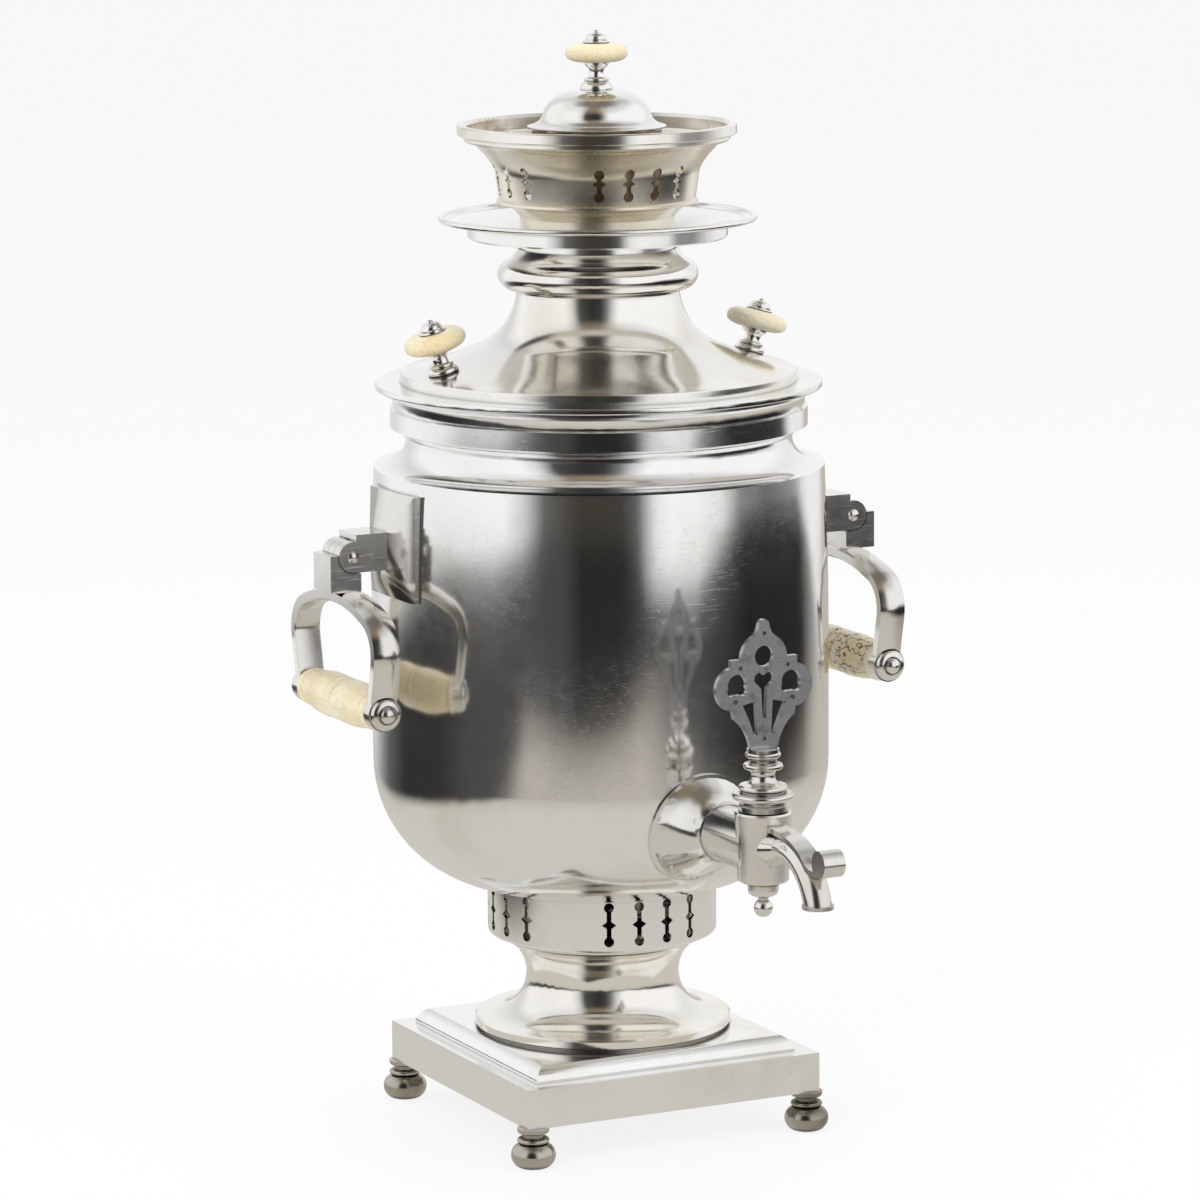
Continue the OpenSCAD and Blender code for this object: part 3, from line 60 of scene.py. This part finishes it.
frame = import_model()
nodes = frame["nodes"]

# ---------------------------------------------------------------- node helpers


def rgba(c):
    """A colour for a socket, from one grey value or three values."""
    if isinstance(c, (int, float)):
        return (c, c, c, 1.0)
    return (c[0], c[1], c[2], 1.0)


class Tree:
    """Small helper that adds and links shader nodes."""

    def __init__(self, tree):
        self.t = tree
        tree.nodes.clear()

    def put(self, socket, value):
        """Links an output to a socket, or sets the socket's own value."""
        if isinstance(value, bpy.types.NodeSocket):
            self.t.links.new(value, socket)
        else:
            socket.default_value = rgba(value) if socket.type == "RGBA" else value

    def add(self, kind, **values):
        """A new node: in_0 or in_Base_Color is an input, any other key a setting."""
        node = self.t.nodes.new(kind)
        for key, value in values.items():
            if not key.startswith("in_"):
                setattr(node, key, value)
                continue
            name = key[3:]
            self.put(node.inputs[int(name) if name.isdigit() else name.replace("_", " ")], value)
        return node

    def math(self, op, a, b=0.0, clamp=False):
        return self.add("ShaderNodeMath", operation=op, use_clamp=clamp, in_0=a, in_1=b).outputs[0]

    def step(self, value, start, end, bottom=0.0, top=1.0):
        """A smooth step from bottom to top while value goes from start to end."""
        return self.add("ShaderNodeMapRange", interpolation_type="SMOOTHSTEP", in_Value=value,
                        in_From_Min=start, in_From_Max=end, in_To_Min=bottom,
                        in_To_Max=top).outputs["Result"]

    def around(self, turn, stops):
        """A colour ramp round the axis. Stops are (degrees, colour), from -180 to 180."""
        node = self.add("ShaderNodeValToRGB", in_0=turn)
        ramp = node.color_ramp.elements
        for element, (degrees, colour) in zip(ramp, (stops[0], stops[-1])):
            element.position, element.color = 0.5 + degrees / 360, rgba(colour)
        for degrees, colour in stops[1:-1]:
            ramp.new(0.5 + degrees / 360).color = rgba(colour)
        return node.outputs[0]

    def mix(self, factor, a, b):
        """Colour a where the factor is 0, colour b where it is 1."""
        return self.add("ShaderNodeMix", data_type="RGBA", blend_type="MIX",
                        in_0=factor, in_6=a, in_7=b).outputs[2]

    def noise(self, coord, scale, detail, rough, stretch=None):
        if stretch:
            coord = self.add("ShaderNodeMapping", in_Vector=coord, in_Scale=stretch).outputs[0]
        return self.add("ShaderNodeTexNoise", in_Vector=coord, in_Scale=scale, in_Detail=detail,
                        in_Roughness=rough).outputs["Fac"]

    def openness(self, reach):
        """Ambient occlusion: 1 in the open, less in grooves narrower than about the reach."""
        return self.add("ShaderNodeAmbientOcclusion", samples=6, in_Distance=reach).outputs["AO"]

    def bump(self, strength, depth, height, **normal):
        return self.add("ShaderNodeBump", in_Strength=strength, in_Distance=depth,
                        in_Height=height, **normal).outputs[0]


# ---------------------------------------------------------------- materials

SPECK = (0.3, 0.28, 0.25)
# the dark colour on the next line is for the grooves: painted shade and tarnish
GROOVE_SHADE_AND_TARNISH = (0.11, 0.095, 0.08)
BONE_LIGHT, BONE_DARK = (0.93, 0.87, 0.69), (0.82, 0.69, 0.42)
BONE_GRAIN, BONE_PORE = (0.72, 0.56, 0.28), (0.45, 0.32, 0.15)
# the first colour on the next line is for the grooves: painted shade and dirt
BONE_SHADE_AND_DIRT, BONE_CRACK = (0.36, 0.24, 0.11), (0.07, 0.045, 0.025)


def new_material(name):
    """An empty material, its tree and its object coordinates."""
    material = bpy.data.materials.new(name)
    material.use_nodes = True
    t = Tree(material.node_tree)
    return material, t, t.add("ShaderNodeTexCoord").outputs["Object"]


def finish_material(t, **values):
    shader = t.add("ShaderNodeBsdfPrincipled", **values)
    t.add("ShaderNodeOutputMaterial", in_Surface=shader.outputs[0])


def silver(name, tint, stain, stain_amount, rough, scratch=0.35, crevice=0.7, patches=16.0):
    """Polished nickel silver: stains, cloudy roughness, hair scratches, and painted shade with
    tarnish in the grooves, where ambient occlusion darkens the colour.
    """
    material, t, co = new_material(name)
    grain = t.noise(co, scale=140.0, detail=5.0, rough=0.65)
    stained = t.step(t.noise(co, scale=patches, detail=4.0, rough=0.6), 0.46, 0.74,
                     top=stain_amount)
    colour = t.mix(stained, tint, stain)
    speck = t.step(t.noise(co, scale=520.0, detail=2.0, rough=0.6), 0.66, 0.78, top=0.22)
    colour = t.mix(speck, colour, SPECK)
    # painted shade and tarnish: by ambient occlusion the colour turns darker, and the surface
    # rougher, in grooves
    groove = t.math("MULTIPLY", t.step(t.openness(0.0035), 0.72, 0.3), crevice)
    colour = t.mix(groove, colour, GROOVE_SHADE_AND_TARNISH)
    # hair scratches in two directions
    along = t.noise(co, scale=60.0, detail=2.0, rough=0.5, stretch=(1.0, 14.0, 30.0))
    across = t.noise(co, scale=55.0, detail=2.0, rough=0.5, stretch=(16.0, 1.0, 9.0))
    lines = t.math("ADD", t.step(along, 0.63, 0.7), t.step(across, 0.65, 0.72))
    cloudy = t.math("MULTIPLY", t.math("SUBTRACT", grain, 0.5), 0.07)
    roughness = t.math("ADD", rough, cloudy)
    roughness = t.math("ADD", roughness, t.math("MULTIPLY", stained, 0.1))
    roughness = t.math("ADD", roughness, t.math("MULTIPLY", lines, 0.05 * scratch))
    roughness = t.math("ADD", roughness, t.math("MULTIPLY", groove, 0.25), clamp=True)
    waves = t.bump(0.3, 0.0004, t.noise(co, scale=26.0, detail=1.0, rough=0.4))
    scratched = t.bump(0.2 * scratch, 0.00003, lines, in_Normal=waves)
    normal = t.bump(0.12, 0.00004, grain, in_Normal=scratched)
    finish_material(t, in_Base_Color=colour, in_Metallic=1.0, in_Roughness=roughness,
                    in_Normal=normal)
    return material


def ivory(name, cracks):
    """Turned bone or ivory colour with long grain, pores, painted shade and dirt in the grooves
    and, on one grip, dark cracks.
    """
    material, t, co = new_material(name)
    cloud = t.noise(co, scale=34.0, detail=3.0, rough=0.55)
    grain = t.noise(co, scale=110.0, detail=4.0, rough=0.6, stretch=(7.0, 0.8, 7.0))
    pore = t.noise(co, scale=420.0, detail=2.0, rough=0.5, stretch=(3.0, 0.35, 3.0))
    colour = t.mix(t.step(cloud, 0.3, 0.72), BONE_LIGHT, BONE_DARK)
    colour = t.mix(t.step(grain, 0.45, 0.75, top=0.5), colour, BONE_GRAIN)
    colour = t.mix(t.step(pore, 0.62, 0.74, top=0.45), colour, BONE_PORE)
    # painted shade and dirt: darker in the grooves, by ambient occlusion
    colour = t.mix(t.step(t.openness(0.003), 0.75, 0.35, top=0.75), colour, BONE_SHADE_AND_DIRT)
    height = t.math("MULTIPLY", t.step(pore, 0.6, 0.75), -1.0)
    if cracks:
        # long cells along the grip, with bent edges
        bend = t.add("ShaderNodeTexNoise", in_Vector=co, in_Scale=90.0, in_Detail=2.0)
        bent = t.add("ShaderNodeVectorMath", operation="ADD", in_0=co, in_1=bend.outputs["Color"])
        small = t.add("ShaderNodeMapping", in_Vector=bent.outputs[0], in_Scale=(0.02, 0.02, 0.02))
        long = t.add("ShaderNodeMapping", in_Vector=co, in_Scale=(1.0, 0.28, 1.0))
        place = t.add("ShaderNodeVectorMath", operation="ADD", in_0=small.outputs[0],
                      in_1=long.outputs[0])
        cell = t.add("ShaderNodeTexVoronoi", feature="DISTANCE_TO_EDGE",
                     in_Vector=place.outputs[0], in_Scale=150.0)
        crack = t.step(cell.outputs["Distance"], 0.05, 0.012)
        crack = t.math("MULTIPLY", crack, t.step(cloud, 0.36, 0.56))
        colour = t.mix(crack, colour, BONE_CRACK)
        height = t.math("SUBTRACT", height, t.math("MULTIPLY", crack, 2.0))
    finish_material(
        t, in_Base_Color=colour,
        in_Roughness=t.math("ADD", 0.3, t.math("MULTIPLY", grain, 0.2)),
        in_Normal=t.bump(0.5, 0.00012, height), in_Subsurface_Weight=0.25,
        in_Subsurface_Radius=(0.9, 0.6, 0.3), in_Subsurface_Scale=0.0015,
        in_Coat_Weight=0.2, in_Coat_Roughness=0.25)
    return material


def rough_metal(name, dark, light, rough, metallic=1.0):
    """Unpolished metal with cloudy colour and a fine grain."""
    material, t, co = new_material(name)
    cloud = t.noise(co, scale=60.0, detail=5.0, rough=0.65)
    grain = t.noise(co, scale=540.0, detail=3.0, rough=0.6)
    uneven = t.math("MULTIPLY", t.math("SUBTRACT", grain, 0.5), 0.3)
    finish_material(
        t, in_Base_Color=t.mix(t.step(cloud, 0.35, 0.65), dark, light), in_Metallic=metallic,
        in_Roughness=t.math("ADD", rough, uneven, clamp=True),
        in_Normal=t.bump(0.4, 0.0002, grain))
    return material


WARM = (0.66, 0.58, 0.44)
plate = silver("plate_body", (0.92, 0.92, 0.912), WARM, 0.3, 0.105)
plate_bright = silver("plate_bright", (0.91, 0.9, 0.88), WARM, 0.2, 0.1, crevice=0.85)
plate_cast = silver("plate_cast", (0.82, 0.805, 0.775), (0.5, 0.45, 0.36), 0.4, 0.13,
                    scratch=0.6, crevice=0.95)
plate_grey = silver("plate_key", (0.54, 0.545, 0.56), (0.16, 0.16, 0.17), 0.8, 0.28,
                    scratch=1.0, crevice=0.95, patches=170.0)
plate_warm = silver("plate_warm", (0.9, 0.88, 0.83), (0.68, 0.58, 0.4), 0.5, 0.12)
plate_lid = silver("plate_lid", (0.92, 0.91, 0.885), (0.74, 0.65, 0.47), 0.35, 0.11)
plate_crown = silver("plate_crown", (0.9, 0.85, 0.74), (0.7, 0.59, 0.4), 0.45, 0.25,
                     scratch=0.2)
plate_foot = silver("plate_foot", (0.5, 0.475, 0.42), (0.12, 0.1, 0.065), 0.9, 0.15,
                    crevice=0.95)
heat_tan = silver("heat_tan", (0.95, 0.92, 0.86), (0.4, 0.28, 0.17), 0.85, 0.24, patches=45.0)
heat_brown = rough_metal("heat_brown", (0.2, 0.14, 0.08), (0.5, 0.4, 0.27), 0.34)
brass = rough_metal("old_brass", (0.3, 0.22, 0.12), (0.62, 0.48, 0.27), 0.35)
iron = rough_metal("grate_iron", (0.02, 0.02, 0.02), (0.09, 0.07, 0.06), 0.75, 0.6)
inner_tin = rough_metal("inner_tin", (0.3, 0.29, 0.27), (0.55, 0.53, 0.5), 0.32)
ivory_plain = ivory("ivory_plain", False)
ivory_cracked = ivory("ivory_cracked", True)

# ---------------------------------------------------------------- pieces

BRASS_NODES = ("bracket_nuts", "tap_washer", "tap_nut", "tap_key_washer", "lid_knob_nuts",
               "cap_knob_nut")
CAST_NODES = ("bracket_", "handle_", "hinge_pin", "grip_", "tap_")
TURNED_NODES = ("pedestal", "vent_collar", "body_shell", "neck_ring", "lid", "drip_tray",
                "chimney_cap", "cap_knob_stem", "cap_knob_disc", "cap_knob_cap")
OFF_AXIS_NODES = ("foot_front_left", "foot_front_right", "foot_back_left", "foot_back_right",
                  "tap_key_nut")

WELD = 2e-6                 # vertices closer than this become one
NO_LENGTH = 1e-6            # edges shorter than this are dissolved
SMOOTH_DEG = 27.0           # edges flatter than this are smooth
BOW_SMOOTH_DEG = 44.0       # on the handles' bows below BOW_TOP
BOW_TOP = 0.25
BRACKET_SMOOTH_DEG = 48.0   # on the brackets' plates, inside BRACKET_BLOCK from the axis
BRACKET_BLOCK = 0.1076
PROFILE_DEG = 30.0          # a turned profile is smooth up to this angle
TURNED_ACROSS = 0.12        # a turned face looks no further than this across its radius
ON_AXIS = 1e-5
FACES_OUT = 0.1             # the share of a normal that makes a face look out or in
FACES_UP = 0.7
CROWN_BAND = (0.4135, 0.4345)
CROWN_LEAN = 0.05           # radians that the band's normals tip upwards
CROWN_WALL = (0.401, 0.4425)
CROWN_INSIDE_TOP = 0.4485
BODY_FLOOR_TOP = 0.2
KEY_PLATE_BOTTOM = 0.1962


def finish_of(node):
    """The material of a piece, by the name of its node."""
    if "_disc" in node or node == "grip_left":
        return ivory_plain
    if node == "grip_right":
        return ivory_cracked
    if node == "grate":
        return iron
    if node in ("fire_tube", "crown_flue"):
        return heat_brown
    if node in BRASS_NODES:
        return brass
    if node == "base_plate":
        return inner_tin
    if node.startswith("foot_"):
        return plate_foot
    if node == "lid":
        return plate_lid
    if node in ("crown", "pedestal"):
        return plate_warm
    if node.startswith(CAST_NODES):
        return plate_cast
    if "knob" in node or node.startswith(("steam", "chimney")):
        return plate_bright
    return plate


def smooth_limit(node, middle):
    """The angle in degrees up to which an edge of this node with this middle is smooth."""
    if node.startswith("handle_bow") and middle.z < BOW_TOP:
        return BOW_SMOOTH_DEG
    if node in ("bracket_left", "bracket_right") and abs(middle.x) < BRACKET_BLOCK:
        return BRACKET_SMOOTH_DEG
    return SMOOTH_DEG


def new_object(name, data):
    obj = bpy.data.objects.new(name, data)
    bpy.context.scene.collection.objects.link(obj)
    return obj


def smooth_piece(node, body):
    """A welded, smooth-shaded piece of the same shape that stands for a CAD node."""
    mesh = bpy.data.meshes.new("fine_" + node)
    bm = bmesh.new()
    bm.from_mesh(nodes[node].data)
    bmesh.ops.remove_doubles(bm, verts=bm.verts, dist=WELD)
    bmesh.ops.dissolve_degenerate(bm, edges=bm.edges, dist=NO_LENGTH)
    bmesh.ops.recalc_face_normals(bm, faces=bm.faces)
    for e in bm.edges:
        limit = smooth_limit(node, (e.verts[0].co + e.verts[1].co) / 2)
        e.smooth = e.calc_face_angle(math.pi) < math.radians(limit)
    bm.to_mesh(mesh)
    bm.free()
    mesh.polygons.foreach_set("use_smooth", [True] * len(mesh.polygons))
    mesh.materials.append(finish_of(node))
    obj = new_object("fine_" + node, mesh)
    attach(obj, body)
    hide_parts(node)
    return obj


def round_normals(obj, x=0.0, y=0.0, lean=lambda z: 0.0):
    """Shading normals of a turned piece: even round its vertical axis, smooth along its profile.

    lean(z) tips the normals of outer faces upwards, in radians."""
    mesh = obj.data
    limit = math.cos(math.radians(PROFILE_DEG))
    profile = []    # each face's normal as (out, up), or None where it isn't turned
    for p in mesh.polygons:
        dx, dy = p.center.x - x, p.center.y - y
        r = math.hypot(dx, dy)
        if r < ON_AXIS:
            profile.append(None)
            continue
        out = (p.normal.x * dx + p.normal.y * dy) / r
        across = (p.normal.y * dx - p.normal.x * dy) / r
        profile.append((out, p.normal.z) if abs(across) < TURNED_ACROSS else None)
    at_vertex = [[] for _ in mesh.vertices]
    for p in mesh.polygons:
        if profile[p.index]:
            for v in p.vertices:
                at_vertex[v].append((profile[p.index], p.area))
    normals = [Vector(n.vector) for n in mesh.corner_normals]
    for p in mesh.polygons:
        own = profile[p.index]
        if not own:
            continue
        for k in p.loop_indices:
            v = mesh.loops[k].vertex_index
            dx, dy = mesh.vertices[v].co.x - x, mesh.vertices[v].co.y - y
            r = math.hypot(dx, dy)
            if r < ON_AXIS:
                continue
            out = up = 0.0
            for (a, b), area in at_vertex[v]:
                if a * own[0] + b * own[1] > limit:
                    out += a * area
                    up += b * area
            if out > 0.0:
                up += lean(p.center.z) * out
            normals[k] = Vector((out * dx / r, out * dy / r, up)).normalized()
    mesh.normals_split_custom_set([tuple(n) for n in normals])


def crown_lean(z):
    return CROWN_LEAN if CROWN_BAND[0] < z < CROWN_BAND[1] else 0.0


def facing(centre, normal):
    """1 for a face that looks out from the axis, -1 for one that looks at it, else 0."""
    r = math.hypot(centre.x, centre.y) or 1.0
    out = (centre.x * normal.x + centre.y * normal.y) / r
    return (out > FACES_OUT) - (out < -FACES_OUT)


def repaint(node, material, test):
    """Gives the faces for which test(centre, normal) holds another material."""
    mesh = fine[node].data
    mesh.materials.append(material)
    for p in mesh.polygons:
        if test(p.center, p.normal):
            p.material_index = len(mesh.materials) - 1


fine = {}
for body in frame["bodies"]:
    for node in sorted(n for n, o in nodes.items() if o["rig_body"] == body):
        fine[node] = smooth_piece(node, body)

for node in TURNED_NODES:
    round_normals(fine[node])
round_normals(fine["crown"], lean=crown_lean)
for node in OFF_AXIS_NODES:
    low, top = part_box(node)
    round_normals(fine[node], (low[0] + top[0]) / 2, (low[1] + top[1]) / 2)

repaint("crown", heat_tan, lambda c, n: facing(c, n) < 0 and c.z < CROWN_INSIDE_TOP)
repaint("crown", plate_crown,
        lambda c, n: facing(c, n) > 0 and CROWN_WALL[0] < c.z < CROWN_WALL[1])
repaint("body_shell", inner_tin,
        lambda c, n: facing(c, n) < 0 or (n.z > FACES_UP and c.z < BODY_FLOOR_TOP))
repaint("tap_key", plate_grey, lambda c, n: c.z > KEY_PLATE_BOTTOM)

# ---------------------------------------------------------------- stage, light and camera

CAM_AZ = -26.3213           # degrees about the axis, 0 in front of the tap
CAM_DISTANCE = 2.46918      # from the axis
CAM_HEIGHT = 0.65969
CAM_PITCH = 9.732           # degrees downwards
CAM_ROLL = -0.3875
CAM_LENS = 168.18           # mm, on a sensor 36 mm wide

# What the polished metal reflects, in world directions: degrees about the axis, 0 on the
# photograph's side and growing to its right. LOW_ROOM is at the floor's level, MID_ROOM at
# the horizon and HIGH_ROOM far up.
BLACK_LOW = (0.055, 0.05, 0.04)
LOW_ROOM = [(-180, 0.8), (-150, 0.72), (-130, 0.95), (-100, 0.93), (-48, 1.0), (-38, 0.7),
            (-28, 0.14), (-16, (0.08, 0.072, 0.06)), (-9, BLACK_LOW), (11, BLACK_LOW),
            (19, 0.11), (28, 0.85), (36, 1.0), (64, 0.9), (74, 0.35), (92, 0.3), (112, 0.7),
            (130, 0.9), (180, 0.8)]
MID_ROOM = [(-180, 0.95), (-150, 0.72), (-130, 0.98), (-84, 0.93), (-48, 1.0), (-37, 0.75),
            (-27, 0.07), (-8, 0.028), (4, 0.04), (12, 0.17), (22, 0.7), (30, 1.0),
            (120, 1.0), (145, 0.85), (180, 0.95)]
HIGH_ROOM = [(-180, 0.3), (-160, 0.6), (-130, 0.8), (-50, 0.82), (-36, 0.5),
             (-24, (0.27, 0.21, 0.145)), (2, (0.29, 0.23, 0.155)), (18, (0.5, 0.46, 0.39)),
             (40, 0.68), (100, 0.74), (140, 0.5), (158, 0.72), (180, 0.3)]
ZENITH = (0.2, 0.18, 0.15)
HORIZON = (-0.06, 0.04)     # heights of the direction between two rooms
HIGH_UP = (0.58, 0.84)
OVERHEAD = (0.82, 0.99)

# What the floor shows to reflections: a pale table, dark ground past it, then the soft boxes
# from a reach on, in tens of metres, because a ramp ends at 1.
GROUND = [(-180, 0.7), (-150, 0.5), (-130, 0.12), (-112, 0.03), (-84, 0.03), (-66, 0.064),
          (-18, 0.06), (-9, 0.018), (11, 0.018), (20, 0.045), (34, 0.08), (60, 0.035),
          (75, 0.015), (118, 0.02), (140, 0.5), (180, 0.7)]
REACH = [(-180, 0.05), (-130, 0.12), (-80, 0.21), (-54, 0.22), (-38, 0.25), (-20, 0.32),
         (12, 0.31), (22, 0.2), (48, 0.19), (64, 0.27), (78, 0.32), (100, 0.31), (116, 0.27),
         (140, 0.1), (180, 0.05)]
REACH_UNIT = 10.0
REACH_EDGE = (-0.2, 0.5)    # the soft boxes fade in from this far before it to this far past it
FLOOR_HALF = 14.0
FLOOR_PALE = (0.9, 0.9, 0.9)
FLOOR_GLOW = 0.85           # the share of its own light that a camera ray sees
TABLE_AZ = CAM_AZ - 10.8    # the table stands a little turned from the camera
TABLE_FRONT = (0.93, 1.1)
TABLE_LEFT = (-0.56, -0.38)
TABLE_RIGHT = (0.45, 0.95)
TABLE_NEAR, TABLE_FAR = (0.63, 0.603, 0.553), (0.52, 0.48, 0.425)
TABLE_FADE = (0.35, 1.0)    # distances from the axis between the two colours

FILL = (0.62, 0.62, 0.62)   # what the world sheds on rough surfaces
WHITE = (1.0, 1.0, 1.0)

LAMPS = {                   # place, aim, size in metres, watts
    "key_lamp": ((-2.2, -1.4, 1.9), (0, 0, 0.25), (1.2, 1.6), 34),
    "fill_lamp": ((1.6, -2.1, 1.6), (0, 0, 0.25), (1.2, 1.6), 22),
    "top_lamp": ((0.2, 0.6, 2.4), (0, 0, 0.2), (1.6, 1.6), 16),
}


def compass(azimuth):
    """Level unit vectors from the axis towards this azimuth, and to the right of it."""
    a = math.radians(azimuth)
    return (math.sin(a), -math.cos(a)), (math.cos(a), math.sin(a))


def distance_along(t, x, y, vector):
    return t.math("ADD", t.math("MULTIPLY", x, vector[0]), t.math("MULTIPLY", y, vector[1]))


def turn_of(t, x, y):
    """The azimuth of (x, y) from CAM_AZ as a share of a turn, 0 to 1 with 0.5 at CAM_AZ."""
    ahead, right = compass(CAM_AZ)
    u, v = distance_along(t, x, y, ahead), distance_along(t, x, y, right)
    return t.math("ADD", t.math("DIVIDE", t.math("ARCTAN2", v, u), 2 * math.pi), 0.5)


def ray_kinds(t):
    """Is Glossy Ray, and 1 for camera, glossy and transmitted rays."""
    path = t.add("ShaderNodeLightPath").outputs
    both = t.math("MAXIMUM", path["Is Camera Ray"], path["Is Glossy Ray"])
    return path["Is Glossy Ray"], t.math("MAXIMUM", both, path["Is Transmission Ray"])


def make_world():
    world = bpy.data.worlds.new("studio")
    bpy.context.scene.world = world
    world.use_nodes = True
    t = Tree(world.node_tree)
    way = t.add("ShaderNodeTexCoord").outputs["Generated"]
    x, y, z = t.add("ShaderNodeSeparateXYZ", in_0=way).outputs
    turn = turn_of(t, x, y)
    room = t.mix(t.step(z, *HORIZON), t.around(turn, LOW_ROOM), t.around(turn, MID_ROOM))
    room = t.mix(t.step(z, *HIGH_UP), room, t.around(turn, HIGH_ROOM))
    room = t.mix(t.step(z, *OVERHEAD), room, ZENITH)
    glossy, seen = ray_kinds(t)
    colour = t.mix(seen, FILL, t.mix(glossy, WHITE, room))
    background = t.add("ShaderNodeBackground", in_Color=colour, in_Strength=1.0)
    t.add("ShaderNodeOutputWorld", in_Surface=background.outputs[0])


def make_floor():
    mesh = bpy.data.meshes.new("floor")
    h = FLOOR_HALF
    mesh.from_pydata([(-h, -h, 0), (h, -h, 0), (h, h, 0), (-h, h, 0)], [], [(0, 1, 2, 3)])
    material, t, co = new_material("floor")
    x, y = t.add("ShaderNodeSeparateXYZ", in_0=co).outputs[:2]
    r = t.math("SQRT", t.math("ADD", t.math("MULTIPLY", x, x), t.math("MULTIPLY", y, y)))
    turn = turn_of(t, x, y)
    reach = t.math("MULTIPLY", t.around(turn, REACH), REACH_UNIT)
    past = t.step(t.math("SUBTRACT", r, reach), *REACH_EDGE)
    room = t.mix(past, t.around(turn, GROUND), t.around(turn, LOW_ROOM))
    front, right = compass(TABLE_AZ)
    ahead, aside = distance_along(t, x, y, front), distance_along(t, x, y, right)
    table = t.math("MULTIPLY", t.step(ahead, *TABLE_FRONT, bottom=1.0, top=0.0),
                   t.step(aside, *TABLE_LEFT))
    table = t.math("MULTIPLY", table, t.step(aside, *TABLE_RIGHT, bottom=1.0, top=0.0))
    near = t.mix(t.step(r, *TABLE_FADE), TABLE_NEAR, TABLE_FAR)
    reflected = t.mix(table, room, near)
    glossy, seen = ray_kinds(t)
    diffuse = t.add("ShaderNodeBsdfDiffuse", in_Color=FLOOR_PALE)
    glow = t.add("ShaderNodeEmission", in_Color=t.mix(glossy, WHITE, reflected),
                 in_Strength=1.0)
    share = t.math("MAXIMUM", t.math("MULTIPLY", seen, FLOOR_GLOW), glossy)
    shader = t.add("ShaderNodeMixShader", in_0=share, in_1=diffuse.outputs[0],
                   in_2=glow.outputs[0])
    t.add("ShaderNodeOutputMaterial", in_Surface=shader.outputs[0])
    mesh.materials.append(material)
    obj = new_object("floor", mesh)


def make_lamp(name, where, aim, size, watts):
    data = bpy.data.lights.new(name, "AREA")
    data.shape = "RECTANGLE"
    data.size, data.size_y = size
    data.energy = watts
    obj = new_object(name, data)
    obj.location = where
    obj.rotation_euler = (Vector(aim) - Vector(where)).to_track_quat("-Z", "Y").to_euler()
    obj.visible_glossy = False
    obj.visible_camera = False


def make_camera():
    pitch, roll = math.radians(CAM_PITCH), math.radians(CAM_ROLL)
    out, right = (Vector((*v, 0.0)) for v in compass(CAM_AZ))
    forward = -out * math.cos(pitch) - Vector((0.0, 0.0, math.sin(pitch)))
    up = right.cross(forward)
    x = right * math.cos(roll) + up * math.sin(roll)
    y = up * math.cos(roll) - right * math.sin(roll)
    data = bpy.data.cameras.new("camera")
    data.lens = CAM_LENS
    data.sensor_width = 36.0
    data.clip_start, data.clip_end = 0.05, 60.0
    obj = new_object("camera", data)
    place = Matrix((x, y, -forward)).transposed().to_4x4()
    place.translation = out * CAM_DISTANCE + Vector((0.0, 0.0, CAM_HEIGHT))
    obj.matrix_world = place
    bpy.context.scene.camera = obj


make_world()
make_floor()
for name, values in LAMPS.items():
    make_lamp(name, *values)
make_camera()
bpy.context.scene.view_settings.view_transform = "Standard"
